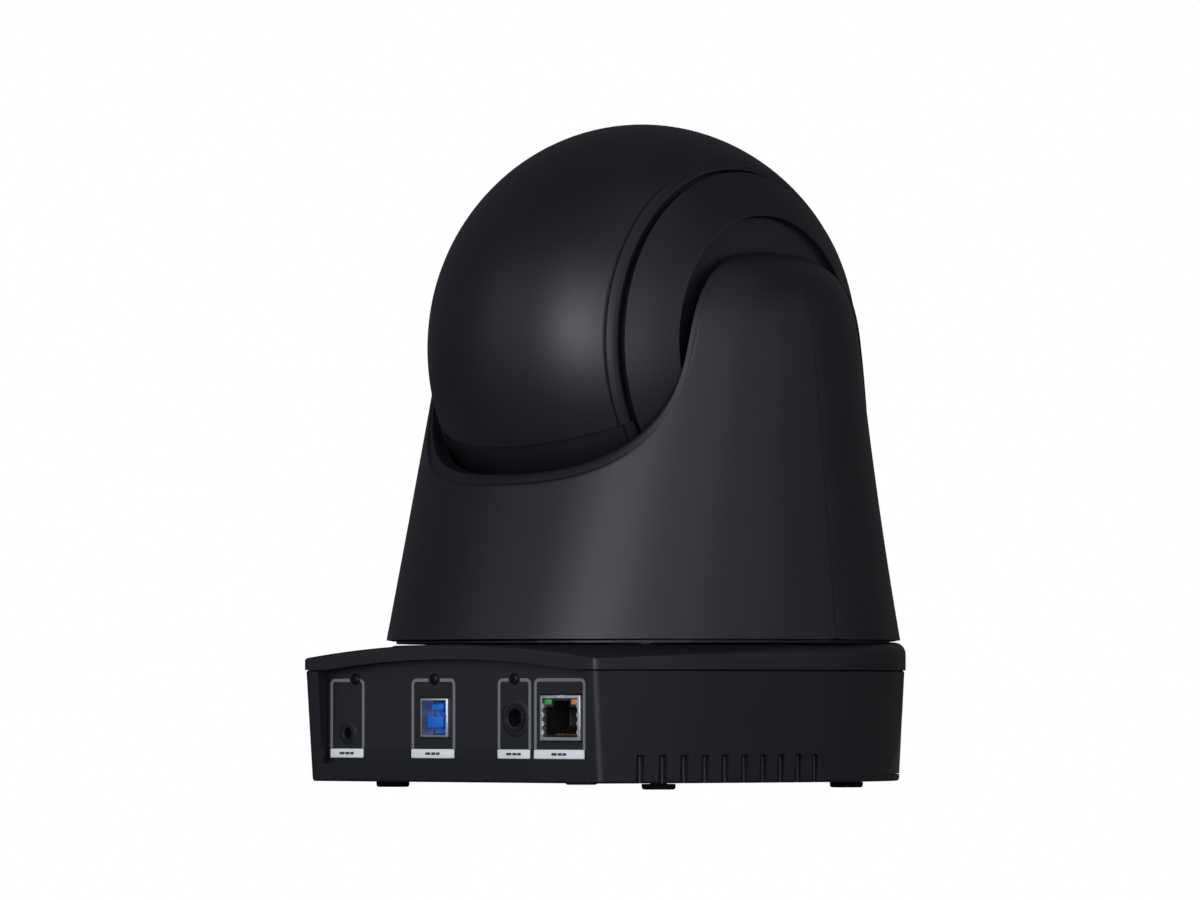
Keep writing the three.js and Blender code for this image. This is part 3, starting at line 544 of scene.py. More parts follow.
@dataclass
class Base:
    """The low base: drafted lower body, cover, window, feet and rear recess."""

    plan: BasePlan = field(default_factory=BasePlan)
    wall: float = 2.4
    recess: tuple[float, float] = (-54.0, 52.5)
    recess_bottom: float = 7.1
    recess_top: float = 37.2
    recess_sag: float = 3.6
    panel_y: float = 78.4
    margin: float = 1.8
    plateau: float = 73.4
    hole: float = 22.0
    edge_round: float = 3.4
    rear_round: float = 0.9
    edge_tuck: float = 0.4

    def build(self) -> None:
        """Builds and dresses every piece of the base."""
        self.lower_body()
        self.top_cover()
        self.window()
        self.feet()
        self.tongue()

    def lower_block(self, extra: float, low: float, high: float) -> bmesh.types.BMesh:
        """Returns the drafted lower body as a solid, pulled in by extra."""
        plan = self.plan
        rings = []
        middle = [z for z in (10.6, 11.6) if low + 1 < z < high - 1]
        for z in (low, low + 0.6, *middle, high - 0.5, high):
            draft = (plan.parting - z) / (plan.parting - plan.bottom)
            tuck = self.edge_tuck if z in (low, high) and extra == 0 else 0.0
            ring = plan.outline(
                extra + 0.4 + 1.3 * draft + tuck, extra + 0.3 + 2.4 * draft + tuck,
                extra + 0.4 + 2.0 * draft + tuck,
            )
            rings.append([Vector((x, y, z)) for x, y in ring])
        return plan.stack(rings)

    def recess_outline(self, grow: float) -> list[Point]:
        """Returns the arched outline of the rear recess, grown by a margin."""
        right, left = self.recess[0] - grow, self.recess[1] + grow
        bottom = self.recess_bottom - grow
        points = [(left, bottom)]
        for i in range(33):
            x = lerp(left, right, i / 32)
            points.append((x, self.recess_top + grow - self.recess_sag * (x / self.recess[0]) ** 2))
        return points + [(right, bottom)]

    def window_outline(self, grow: float) -> list[Point]:
        """Returns the front window's outline as seen from the front."""
        low, high = 4.0 - grow, 28.0 + grow
        wide, narrow = 70.0 + grow, 54.0 + grow
        return [(-wide, low), (wide, low), (narrow, high), (-narrow, high)]

    def lower_body(self) -> None:
        """Makes the lower body with its recess, window seat and vent grooves."""
        plan = self.plan
        body = self.lower_block(0, plan.bottom, plan.parting - 0.06)
        body = Bench.carve(body, self.lower_block(self.wall, plan.bottom - 1, plan.parting + 1), "DIFFERENCE")
        collar = pushed(self.recess_outline(self.margin), (self.panel_y + 0.3, 90))
        lining = self.lower_block(0.5, plan.bottom + 1.3, plan.parting - 0.3)
        collar = Bench.carve(lining, collar, "INTERSECT")
        body = Bench.carve(body, collar, "UNION")
        body = Bench.carve(body, pushed(self.recess_outline(0), (60, 90)), "DIFFERENCE")
        seat = Bench.carve(
            self.lower_block(-0.5, 1.0, 33), self.lower_block(1.5, 0.5, 33.5), "DIFFERENCE")
        seat = Bench.carve(seat, pushed(self.window_outline(0.25), (-90, -22)), "INTERSECT")
        body = Bench.carve(body, seat, "DIFFERENCE")
        body = Bench.carve(body, self.vents(), "DIFFERENCE")
        Bench.piece("base_lower_body", body, Finishes.SHELL, Body.BASE, ["base_body_shell"],
                    soften=0.25, steps=2)

    def tongue(self) -> None:
        """Makes the tongue inside the parting line, which keeps light out."""
        ring = Bench.carve(self.lower_block(0.7, 32.5, 35.2), self.lower_block(2.2, 31.0, 36.5), "DIFFERENCE")
        ring = Bench.carve(ring, pushed(self.recess_outline(0.8), (60, 90)), "DIFFERENCE")
        Bench.piece("parting_tongue", ring, Finishes.SHELL, Body.BASE)

    def vents(self) -> bmesh.types.BMesh:
        """Returns the cutters of the ten vent grooves of each side."""
        plan = self.plan
        centre = plan.half_width - plan.side_radius
        cutters = []
        for i in range(10):
            y = lerp(69, 9, i / 9)
            face = centre + math.sqrt(plan.side_radius ** 2 - y ** 2) - 1.6
            for sign in (1, -1):
                span = sorted((sign * (face - 1.5), sign * (face + 4)))
                cutters.append(block((span[0], span[1]), (y - 1.3, y + 1.3), (-2, 10), 0.6))
        return gathered(*cutters)

    def cover_rings(self) -> list[list[Vector]]:
        """Returns the rings of the cover's outside, from the parting line to the neck."""
        plan = self.plan
        outside, inside = plan.outline(), plan.outline(self.edge_round)
        rings = [[Vector((x, y, plan.parting)) for x, y in outside]]
        for i in range(9):
            turn = math.radians(90 * i / 8)
            ring = []
            for (x, y), (in_x, in_y) in zip(outside, inside):
                bend = lerp(self.edge_round, self.rear_round, smooth(20, 70, y))
                share = (1 - math.cos(turn)) * bend / self.edge_round
                z = plan.top - bend * (1 - math.sin(turn)) - plan.crown(x, y)
                ring.append(Vector((lerp(x, in_x, share), lerp(y, in_y, share), max(plan.parting + 0.2, z))))
            rings.append(ring)
        for radius, z in ((self.plateau + 0.3, plan.top - 0.25), (self.plateau, plan.top - 0.05),
                          (self.plateau - 0.4, plan.top), (self.hole, plan.top)):
            rings.append(self.round_like(inside, radius, z))
        return rings

    @staticmethod
    def round_like(outline: Sequence[Point], radius: float, z: float) -> list[Vector]:
        """Returns a circle with one point for each point of the outline."""
        ring = []
        for x, y in outline:
            turn = math.atan2(y, x)
            ring.append(Vector((radius * math.cos(turn), radius * math.sin(turn), z)))
        return ring

    def top_cover(self) -> None:
        """Makes the top cover, with the arched brow over the recess."""
        plan = self.plan
        outer = plan.stack(self.cover_rings())
        inner_rings = [[Vector((x, y, plan.parting - 1)) for x, y in plan.outline(self.wall)]]
        inner_rings.append([
            Vector((x, y, plan.top - 4.0 - plan.crown(x, y))) for x, y in plan.outline(self.wall)])
        inner_rings.append(self.round_like(plan.outline(self.wall), self.plateau - 4, plan.top - self.wall))
        cover = Bench.carve(outer, plan.stack(inner_rings), "DIFFERENCE")
        collar = pushed(self.recess_outline(self.margin), (self.panel_y + 0.3, 90))
        collar = Bench.carve(plan.stack(self.cover_rings()), collar, "INTERSECT")
        cover = Bench.carve(cover, collar, "UNION")
        cover = Bench.carve(cover, pushed(self.recess_outline(0), (60, 90)), "DIFFERENCE")
        neck = spun([(0, 20), (self.hole - 2, 20), (self.hole - 2, 60), (0, 60)], "Z", 64)
        cover = Bench.carve(cover, neck, "DIFFERENCE")
        Bench.piece("base_cover", cover, Finishes.SHELL, Body.BASE, ["base_top_cover"],
                    soften=0.25, steps=2)

    def window(self) -> None:
        """Makes the glossy front window that the remote control's signal passes."""
        skin = Bench.carve(self.lower_block(0.04, 1.5, 33), self.lower_block(1.2, 0.5, 33.5), "DIFFERENCE")
        pane = Bench.carve(skin, pushed(self.window_outline(0), (-90, -22)), "INTERSECT")
        Bench.piece("front_window", pane, Finishes.GLOSS, Body.BASE, ["front_ir_window"],
                    soften=0.25, steps=2)

    def feet(self) -> None:
        """Makes the four rubber feet with a moulded ring under each."""
        spots = [(53, 51), (-53, 51), (53, -30), (-53, -30)]
        profile = [(0, 0), (2.2, 0), (2.5, 0.35), (3.2, 0.35), (3.5, 0), (4.3, 0), (4.7, 0.25),
                   (4.85, 0.7), (4.85, 1.6), (2.4, 1.6), (2.4, 5), (0, 5)]
        for number, (x, y) in enumerate(spots, 1):
            foot = moved(spun(profile, "Z", 48), x, y)
            Bench.piece(f"foot_{number}", foot, Finishes.RUBBER, Body.BASE, [f"rubber_foot_{number}"])


# ---------------------------------------------------------------- rear panel


def ribbon(path: Sequence[Point], width: float, y: Point) -> bmesh.types.BMesh:
    """Makes a flat strip that follows a path in the X-Z plane.

    Args:
        path: Points as (x, z).
        width: Width of the strip.
        y: Where it starts and ends in depth.

    Returns:
        The strip as a bmesh.
    """
    sides: tuple[list[Point], list[Point]] = ([], [])
    for i, (x, z) in enumerate(path):
        before, after = path[max(i - 1, 0)], path[min(i + 1, len(path) - 1)]
        run, rise = after[0] - before[0], after[1] - before[1]
        reach = math.hypot(run, rise)
        for side, sign in zip(sides, (1, -1)):
            side.append((x - sign * rise / reach * width / 2, z + sign * run / reach * width / 2))
    return pushed(sides[0] + sides[1][::-1], y)


@dataclass
class Port:
    """One connector's place on the rear panel.

    Args:
        x: Its middle across.
        z: Its middle in height.
        frame: Left and right edges of its printed frame.
        label: Left and right edges of its label plate.
        screw: Where the screw interrupts the frame's top line.
    """

    x: float
    z: float
    frame: Point
    label: Point
    screw: Optional[Point] = None


@dataclass
class RearPanel:
    """The recessed connector panel: frames, labels, screws and four jacks."""

    face: float = 78.4
    frame_width: float = 0.95
    frame_top: float = 31.2
    corner: float = 1.3
    label_z: Point = (8.7, 11.4)
    ports: dict[str, Port] = field(default_factory=lambda: {
        "audio": Port(44.3, 15.9, (51.0, 38.1), (51.2, 37.8), (41.3, 31.5)),
        "usb": Port(9.0, 20.4, (18.0, 1.5), (18.3, 1.2), (9.4, 31.5)),
        "power": Port(-22.8, 20.4, (-16.4, -28.5), (-16.1, -28.8), (-22.4, 31.5)),
        "network": Port(-40.8, 20.3, (-30.7, -49.7), (-30.4, -50.0)),
    })

    def build(self) -> None:
        """Builds everything on the panel."""
        self.frames()
        self.labels()
        for number, name in enumerate(("audio", "usb", "power"), 1):
            self.screw(number, *self.ports[name].screw)
        self.usb_jack()
        self.network_jack()
        self.power_jack()
        self.audio_jack()

    def frames(self) -> None:
        """Makes the printed frame round each port, open at the label and at the screw."""
        for name, port in self.ports.items():
            left, right = port.frame
            top, low = self.frame_top, self.label_z[1] + 0.1
            bend = [math.radians(90 * i / 6) for i in range(7)]
            if port.screw is None:
                ends = [left - 0.2, right + 0.2]
            else:
                ends = [port.screw[0] + 2.3, port.screw[0] - 2.3]
            turned = [(self.corner * (1 - math.cos(t)), top - self.corner * (1 - math.sin(t))) for t in bend]
            path_left = [(left, low)] + [(left - across, z) for across, z in turned]
            path_right = [(right, low)] + [(right + across, z) for across, z in turned]
            if port.screw is None:
                strips = [path_left + path_right[::-1]]
            else:
                strips = [path_left + [(ends[0], top)], path_right + [(ends[1], top)]]
            depth = (self.face - 0.05, self.face + 0.12)
            frame_piece = gathered(*[ribbon(strip, self.frame_width, depth) for strip in strips])
            Bench.piece(f"port_frame_{name}", frame_piece, Finishes.PRINT, Body.BASE, slot="label")

    def labels(self) -> None:
        """Makes the label plates and the unreadable bars printed on them."""
        low, high = self.label_z
        for name, port in self.ports.items():
            left, right = port.label
            plate = block((right, left), (self.face - 0.1, self.face + 0.6), (low, high), 0.35)
            Bench.piece(f"label_plate_{name}", plate, Finishes.LABEL, Body.BASE, [f"port_label_{name}"])
            middle = (left + right) / 2
            bars = [
                block((middle + x - half, middle + x + half), (self.face + 0.55, self.face + 0.64),
                      (low + 1.0, low + 1.75))
                for x, half in ((-2.3, 0.7), (-0.5, 0.8), (1.7, 1.0))
            ]
            Bench.piece(f"label_bars_{name}", gathered(*bars), Finishes.INK, Body.BASE, slot="label")

    def screw(self, number: int, x: float, z: float) -> None:
        """Makes one cross-head panel screw."""
        head = spun([(0, 0.8), (0.9, 0.76), (1.4, 0.55), (1.62, 0.25), (1.62, -0.3), (1.2, -0.4), (0, -0.4)],
                    "Y", 40)
        for wide, tall in ((1.0, 0.17), (0.17, 1.0)):
            head = Bench.carve(head, block((-wide, wide), (0.45, 2), (-tall, tall)), "DIFFERENCE")
        Bench.piece(f"cover_screw_{number}", moved(head, x, self.face, z), Finishes.BLACKENED, Body.BASE,
                    [f"panel_screw_{number}"])

    def usb_jack(self) -> None:
        """Makes the square jack: plated shell, stepped blue insert and its contacts."""
        port = self.ports["usb"]
        x, z, face = port.x, port.z, self.face + 0.8
        shell = block((x - 5.5, x + 5.5), (face - 14, face), (z - 5.7, z + 5.7), 0.4)
        bore = block((x - 4.8, x + 4.8), (face - 12.5, face + 2), (z - 5.0, z + 5.0), 0.3)
        Bench.piece("usb_shell", Bench.carve(shell, bore, "DIFFERENCE"), Finishes.STEEL, Body.BASE,
                    ["usb_jack_shell"])
        root = block((x - 4.5, x + 4.5), (face - 12.4, face - 5.4), (z - 4.7, z + 4.7), 0.2)
        lower = block((x - 3.1, x + 3.1), (face - 6, face - 0.6), (z - 2.9, z + 0.5), 0.25)
        upper = block((x - 2.2, x + 2.2), (face - 6, face - 1.6), (z + 2.0, z + 3.9), 0.2)
        insert = Bench.carve(Bench.carve(root, lower, "UNION"), upper, "UNION")
        Bench.piece("usb_insert", insert, Finishes.BLUE, Body.BASE, ["usb_jack_tongue"])
        pins = [block((x + at - 0.35, x + at + 0.35), (face - 5.5, face - 1.2), (level, level + 0.12))
                for at in (-1.4, 1.4) for level in (z + 0.48, z - 3.0)]
        Bench.piece("usb_contacts", gathered(*pins), Finishes.BRASS, Body.BASE)

    def network_jack(self) -> None:
        """Makes the modular jack: shield with spring fingers, housing, contacts and lamps."""
        port = self.ports["network"]
        x, low, face = port.x, 13.9, self.face + 0.6
        top = low + 13.0
        shield = block((x - 7.9, x + 7.9), (face - 12, face + 0.15), (low, top), 0.25)
        inside = block((x - 6.9, x + 6.9), (face - 11, face + 2), (low + 1.0, top - 0.9), 0.2)
        shield = Bench.carve(shield, inside, "DIFFERENCE")
        notch = block((x - 2.6, x + 2.6), (face - 2.5, face + 2), (top - 2, top + 1))
        shield = Bench.carve(shield, notch, "DIFFERENCE")
        Bench.piece("network_shield", shield, Finishes.STEEL, Body.BASE)
        fingers = []
        for sign in (1, -1):
            for i in range(4):
                at = low + 2.4 + 2.5 * i
                root, tip = sign * 7.0, sign * 6.3
                bow = [(root, at - 0.9), (tip, at - 0.35), (tip, at + 0.35), (root, at + 0.9)]
                outline = bow if sign < 0 else bow[::-1]
                fingers.append(moved(pushed(outline, (face - 3.5, face - 0.05)), x))
        Bench.piece("network_spring_fingers", gathered(*fingers), Finishes.STEEL, Body.BASE)
        housing = block((x - 6.7, x + 6.7), (face - 11.5, face - 0.7), (low + 1.1, top - 1.1), 0.2)
        mouth = block((x - 6.0, x + 6.0), (face - 10.5, face + 1), (low + 1.6, low + 9.6), 0.15)
        housing = Bench.carve(housing, mouth, "DIFFERENCE")
        latch = block((x - 3.2, x + 3.2), (face - 10.5, face + 1), (low + 9, low + 11.4))
        housing = Bench.carve(housing, latch, "DIFFERENCE")
        Bench.piece("network_housing", housing, Finishes.CONNECTOR, Body.BASE, ["network_jack"])
        wires = []
        for i in range(8):
            at = x - 3.57 + 1.02 * i
            wire = block((at - 0.2, at + 0.2), (face - 9.5, face - 2.5), (low + 1.7, low + 2.0))
            for vert in wire.verts:
                vert.co.z += 2.6 * (face - 2.5 - vert.co.y) / 7
            wires.append(wire)
        Bench.piece("network_contacts", gathered(*wires), Finishes.BRASS, Body.BASE)
        for sign, colour, finish in ((1, "green", Finishes.GREEN), (-1, "amber", Finishes.AMBER)):
            middle = x + sign * 5.2
            rise = (top - 2.75, top - 1.15)
            lamp = block((middle - 1.3, middle + 1.3), (face - 5, face - 0.35), rise, 0.25)
            Bench.piece(f"network_lamp_{colour}", lamp, finish, Body.BASE, [f"network_led_{colour}"])

    def power_jack(self) -> None:
        """Makes the round supply jack with its stepped rings and centre pin."""
        port = self.ports["power"]
        rings = [(2.6, -9), (2.6, 0.35), (2.75, 0.5), (3.1, 0.55), (3.25, 0.3), (3.45, 0.3), (3.6, 0.55),
                 (3.8, 0.55), (3.85, 0.4), (3.85, -12), (3.2, -12.2), (3.2, -9)]
        barrel = spun(rings, "Y", 72, closed=True)
        Bench.piece("power_barrel", moved(barrel, port.x, self.face, port.z), Finishes.CONNECTOR, Body.BASE,
                    ["power_jack"])
        pin = spun([(0, -2.0), (0.6, -2.05), (0.95, -2.4), (1.0, -3), (1.0, -9), (0, -9)], "Y", 32)
        Bench.piece("power_centre_pin", moved(pin, port.x, self.face, port.z), Finishes.BLACKENED, Body.BASE,
                    ["power_pin"], slot="steel")
        self.surround("power_surround", port, 3.95, 5.5)
        stop = spun([(0, -8.7), (3.1, -8.7), (3.1, -9.2), (0, -9.2)], "Y", 40)
        Bench.piece("power_floor", moved(stop, port.x, self.face, port.z), Finishes.CONNECTOR, Body.BASE)

    def audio_jack(self) -> None:
        """Makes the small round audio jack with its raised ring."""
        port = self.ports["audio"]
        ring = [(1.5, -9), (1.55, 0.1), (1.65, 0.25), (1.9, 0.25), (2.0, 0.1), (2.0, -11), (0, -11), (0, -9)]
        barrel = spun(ring, "Y", 56)
        Bench.piece("audio_barrel", moved(barrel, port.x, self.face, port.z), Finishes.CONNECTOR, Body.BASE,
                    ["audio_jack"])
        self.surround("audio_surround", port, 2.1, 3.4)

    def surround(self, name: str, port: Port, inner: float, outer: float) -> None:
        """Makes the low moulded ring between a round jack and the panel.

        Args:
            name: Piece name.
            port: The jack's place.
            inner: Radius of its hole.
            outer: Its outside radius.
        """
        ring = [(inner, -1.5), (inner, 0.08), (inner + 0.08, 0.15), (outer - 0.2, 0.15), (outer, 0.03),
                (outer, -0.02), (outer - 0.5, -1.5)]
        Bench.piece(name, moved(spun(ring, "Y", 64, closed=True), port.x, self.face, port.z),
                    Finishes.SHELL, Body.BASE)


# ---------------------------------------------------------------- turret


@dataclass
class Turret:
    """The tapered round turret with two arms, split into rear and front shells."""

    bottom: float = 43.0
    radius: float = 75.5
    side_taper: float = 0.0975
    rear_taper: float = 0.283
    front_taper: float = 0.27
    front_curve: float = 0.00085
    shoulder: float = 120.0
    crown: float = 38.4
    slot_half: float = 49.4
    slot_power: float = 2.85
    slot_centre: float = 131.0
    rear_drop: float = 40.3
    front_drop: float = 57.0
    arm_share: float = 0.2
    shallow: float = 2.5
    cheek_depth: float = 60.0
    shaft_hole: float = 9.0
    rim_profile: tuple[Point, ...] = (
        (0.0, 7.0), (0.0, 4.5), (0.0, 2.2), (0.15, 1.75), (0.5, 1.5), (1.6, 1.25), (2.8, 1.0),
        (2.95, 0.8), (3.05, 0.3), (3.2, 0.1), (3.45, 0.0),
    )

    def build(self) -> None:
        """Builds both shells of the turret."""
        self.shell("turret_rear_cover", 1, "turret_rear_shell")
        self.shell("turret_front_cover", -1, "turret_front_shell")
        for sign, side in ((1, "left"), (-1, "right")):
            self.seam_strip(sign, side)

    def seam_strip(self, sign: int, side: str) -> None:
        """Makes the tongue behind the seam between the two shells of an arm.

        Args:
            sign: 1 for the left, -1 for the right.
            side: Its name.
        """
        top = self.crest(self.slot_half + 1.2)

        def place(u: float, v: float) -> Vector:
            """Returns the strip's point at a share of its width and height."""
            z = lerp(self.bottom + 0.6, top, v)
            return Vector((sign * (self.reach(z, 1)[0] - 0.9), lerp(-1.2, 1.2, u), z))

        strip = draped(2, 60, place)
        Bench.piece(f"turret_seam_strip_{side}", strip, Finishes.SHELL, Body.TURRET, wall=0.8)

    def reach(self, z: float, side: int) -> Point:
        """Returns the section's half axes across and along at a height."""
        rise = z - self.bottom
        over = min(1.0, max(0.0, (z - self.shoulder) / self.crown))
        pull = (1 - over ** 4) ** 0.2
        across = self.radius - self.side_taper * rise
        along = self.radius - self.rear_taper * rise
        if side < 0:
            along = self.radius - self.front_taper * rise + self.front_curve * rise ** 2
        return across * pull, along * pull

    def on_surface(self, turn: float, z: float, side: int) -> Vector:
        """Returns the point of the outside at that turn about the pan axis and height."""
        across, along = self.reach(z, side)
        return Vector((across * math.cos(turn), side * along * math.sin(turn), z))

    def crest(self, half: float) -> float:
        """Returns the height at which the outside has narrowed to that half width."""
        low, high = self.shoulder, self.shoulder + self.crown
        for _ in range(40):
            middle = (low + high) / 2
            low, high = (middle, high) if self.reach(middle, 1)[0] > half else (low, middle)
        return low

    def slot_edge(self, u: float, drop: float, inset: float) -> Point:
        """Returns the slot's outline from its left top, u=0, to its right top, u=1.

        Args:
            u: Share of the way round.
            drop: Depth of the slot below its centre.
            inset: How far outside the true edge the point is.
        """
        half, deep = self.slot_half + inset, drop + inset
        straight = 0.22
        top = self.crest(half)
        if u < straight:
            return half, lerp(top, self.slot_centre, u / straight)
        if u > 1 - straight:
            return -half, lerp(self.slot_centre, top, (u - 1 + straight) / straight)
        turn = math.pi * (u - straight) / (1 - 2 * straight)
        c, s = math.cos(turn), math.sin(turn)
        bulge = 2 / self.slot_power
        return math.copysign(half * abs(c) ** bulge, c), self.slot_centre - deep * abs(s) ** bulge

    def rim(self, u: float, drop: float, inset: float, side: int) -> tuple[float, float]:
        """Returns the turn and height of a point of the slot's edge on the outside."""
        x, z = self.slot_edge(u, drop, inset)
        across, _ = self.reach(z, side)
        return math.acos(max(-1.0, min(1.0, x / across))), z

    def far_edge(self, u: float) -> tuple[float, float]:
        """Returns the turn and height of the shell's outer boundary: seam, bottom, seam."""
        corner = 0.34
        top = self.crest(self.slot_half + self.arm_share * self.rim_profile[-1][0])
        if u < corner:
            return 0.0, lerp(top, self.bottom, u / corner)
        if u > 1 - corner:
            return math.pi, lerp(self.bottom, top, (u - 1 + corner) / corner)
        return math.pi * (u - corner) / (1 - 2 * corner), self.bottom

    def shell(self, name: str, side: int, node: str) -> None:
        """Makes one half of the turret.

        Args:
            name: Piece name.
            side: 1 for the rear, -1 for the front.
            node: The CAD node that it stands for.
        """
        drop = self.rear_drop if side > 0 else self.front_drop
        rim_rows = len(self.rim_profile) - 1
        spread = 44

        def place(u: float, v: float) -> Vector:
            """Returns the shell's point at a share of the way around and down from the slot."""
            row = round(v * (spread + rim_rows))
            narrow = lerp(self.arm_share, 1.0, smooth(0.2, 0.42, min(u, 1 - u)))
            if row <= rim_rows:
                inset, sink = self.rim_profile[row]
                turn, z = self.rim(u, drop, inset * narrow, side)
                point = self.on_surface(turn, z, side)
                cheek = 1 - smooth(0.215, 0.245, min(u, 1 - u)) if row == 0 else 0.0
                scale = narrow if sink < self.shallow else 1.0
                point.y -= side * (sink * scale + self.cheek_depth * cheek)
                return self._clear(self._off_seam(point, side), side)
            share = ((row - rim_rows) / spread) ** 1.15
            inner = self.rim(u, drop, self.rim_profile[-1][0] * narrow, side)
            outer = self.far_edge(u)
            point = self.on_surface(lerp(inner[0], outer[0], share), lerp(inner[1], outer[1], share), side)
            return self._off_seam(point, side)

        shell = draped(168, spread + rim_rows, place)
        Bench.piece(name, shell, Finishes.SHELL, Body.TURRET, [node], wall=2.0)

    def _clear(self, point: Vector, side: int) -> Vector:
        """Keeps a point of the slot's edge out of the hole the tilt shaft passes through.

        Args:
            point: The point, which is changed.
            side: 1 for the rear shell, -1 for the front.

        Returns:
            The same point.
        """
        level = point.z - TILT_Z
        if abs(level) < self.shaft_hole:
            open_to = math.sqrt(self.shaft_hole ** 2 - level ** 2)
            if side * point.y < open_to:
                point.y = side * open_to
        return point

    @staticmethod
    def _off_seam(point: Vector, side: int, seam: float = 0.1) -> Vector:
        """Keeps a point on its own side of the seam plane and returns it."""
        if side * point.y < seam:
            point.y = side * seam
        return point


# ---------------------------------------------------------------- head


@dataclass
class Head:
    """The flattened ball: main shell, lower shell, side caps, face and lens."""

    radius: float = 66.3
    half_length: float = 61.0
    wall: float = 2.2
    bead: tuple[float, float] = (35.0, 37.3)
    cap_inner: float = 39.0
    cap_outer: float = 48.8
    recess_radius: float = 37.5
    recess: float = 46.5
    seam_turn: float = math.radians(27)
    lower_step: float = 1.5
    face_y: float = -54.0
    steps: int = 180

    def build(self) -> None:
        """Builds and dresses every piece of the head."""
        self.main_shell()
        self.lower_shell()
        for sign, node in ((1, "left"), (-1, "right")):
            self.side_cap(sign, node)
        self.face()

    def ball(self, x: float) -> float:
        """Returns the ball's radius about the tilt axis at a distance from its middle."""
        return self.radius * math.sqrt(1 - (x / self.half_length) ** 2)

    def skin_profile(self, shrink: float) -> list[Point]:
        """Returns the central shell's profile with the thin groove and the bead."""
        groove, edge = self.bead
        marks = [(-edge, 1.0), (-edge + 0.3, 0.25), (-edge + 0.7, 0.0), (-groove - 0.5, 0.0),
                 (-groove - 0.25, 0.2), (-groove - 0.1, 0.75), (-groove + 0.1, 0.75),
                 (-groove + 0.25, 0.2), (-groove + 0.5, 0.0)]
        middle = [(lerp(-groove + 0.6, groove - 0.6, i / 56), 0.0) for i in range(57)]
        right = [(-x, low) for x, low in reversed(marks)]
        return [(self.ball(x) - low - shrink, x) for x, low in marks + middle + right]

    def half_space(self, work: bmesh.types.BMesh, point: Vector, normal: Vector) -> None:
        """Cuts away what lies on the side of a plane that its normal points to."""
        bmesh.ops.bisect_plane(
            work, geom=list(work.verts) + list(work.edges) + list(work.faces), dist=1e-5,
            plane_co=point, plane_no=normal, clear_outer=True, clear_inner=False,
        )

    def main_shell(self) -> None:
        """Makes the upper shell, open below both seams and at the face."""
        halves = []
        for way in (1, -1):
            part = spun(self.skin_profile(0), "X", self.steps)
            self.half_space(part, Vector((0, 0, 0)), Vector((0, -way, 0)))
            down = Vector((0, -way * math.sin(self.seam_turn), -math.cos(self.seam_turn)))
            self.half_space(part, Vector((0, 0, 0.3)), down)
            self.half_space(part, Vector((0, self.face_y, 0)), Vector((0, -1, 0)))
            halves.append(part)
        shell = moved(gathered(*halves), z=TILT_Z)
        Bench.piece("head_upper_cover", shell, Finishes.SHELL, Body.HEAD, ["head_main_shell"],
                    wall=self.wall)

    def lower_shell(self) -> None:
        """Makes the lower shell, which stands a little inside the upper one."""
        halves = []
        for way in (1, -1):
            part = spun(self.skin_profile(self.lower_step), "X", self.steps)
            self.half_space(part, Vector((0, 0, 0)), Vector((0, -way, 0)))
            up = Vector((0, way * math.sin(self.seam_turn), math.cos(self.seam_turn)))
            self.half_space(part, Vector((0, 0, 0.1)), up)
            self.half_space(part, Vector((0, self.face_y, 0)), Vector((0, -1, 0)))
            halves.append(part)
        shell = moved(gathered(*halves), z=TILT_Z)
        Bench.piece("head_lower_cover", shell, Finishes.SHELL, Body.HEAD, ["head_lower_shell"],
                    wall=self.wall)

    def side_cap(self, sign: int, side: str) -> None:
        """Makes one dished side cap.

        Args:
            sign: 1 for the left, -1 for the right.
            side: Its name.
        """
        inner, outer = self.cap_inner, self.cap_outer
        rim = self.ball(inner)
        profile = [(rim - 4.5, 33.2), (rim + 1.0, 33.5), (rim + 1.0, 34.3), (rim - 2.2, 35.6),
                   (rim - 2.2, 38.1), (rim - 1.7, 38.65), (rim - 0.9, inner - 0.05),
                   (rim - 0.5, inner + 0.15), (rim - 0.42, inner + 0.45)]
        reach = self.half_length * math.sqrt(1 - (self.recess_radius / self.radius) ** 2)
        for i in range(1, 25):
            x = lerp(inner + 0.9, reach - 0.2, i / 24)
            profile.append((self.ball(x), lerp(inner, outer, (x - inner) / (reach - inner))))
        lip = self.recess_radius
        profile += [(lip + 0.05, outer - 0.1), (lip - 0.1, outer - 0.45), (lip - 0.2, self.recess + 0.5),
                    (lip - 0.6, self.recess), (12.3, self.recess), (12.3, self.recess - 2),
                    (34.5, self.recess - 2), (34.5, 33.2)]
        cap = spun([(radius, sign * x) for radius, x in profile], "X", self.steps, closed=True)
        Bench.piece(f"head_side_cap_{side}", moved(cap, z=TILT_Z), Finishes.SHELL, Body.HEAD,
                    [f"head_cap_{side}"])

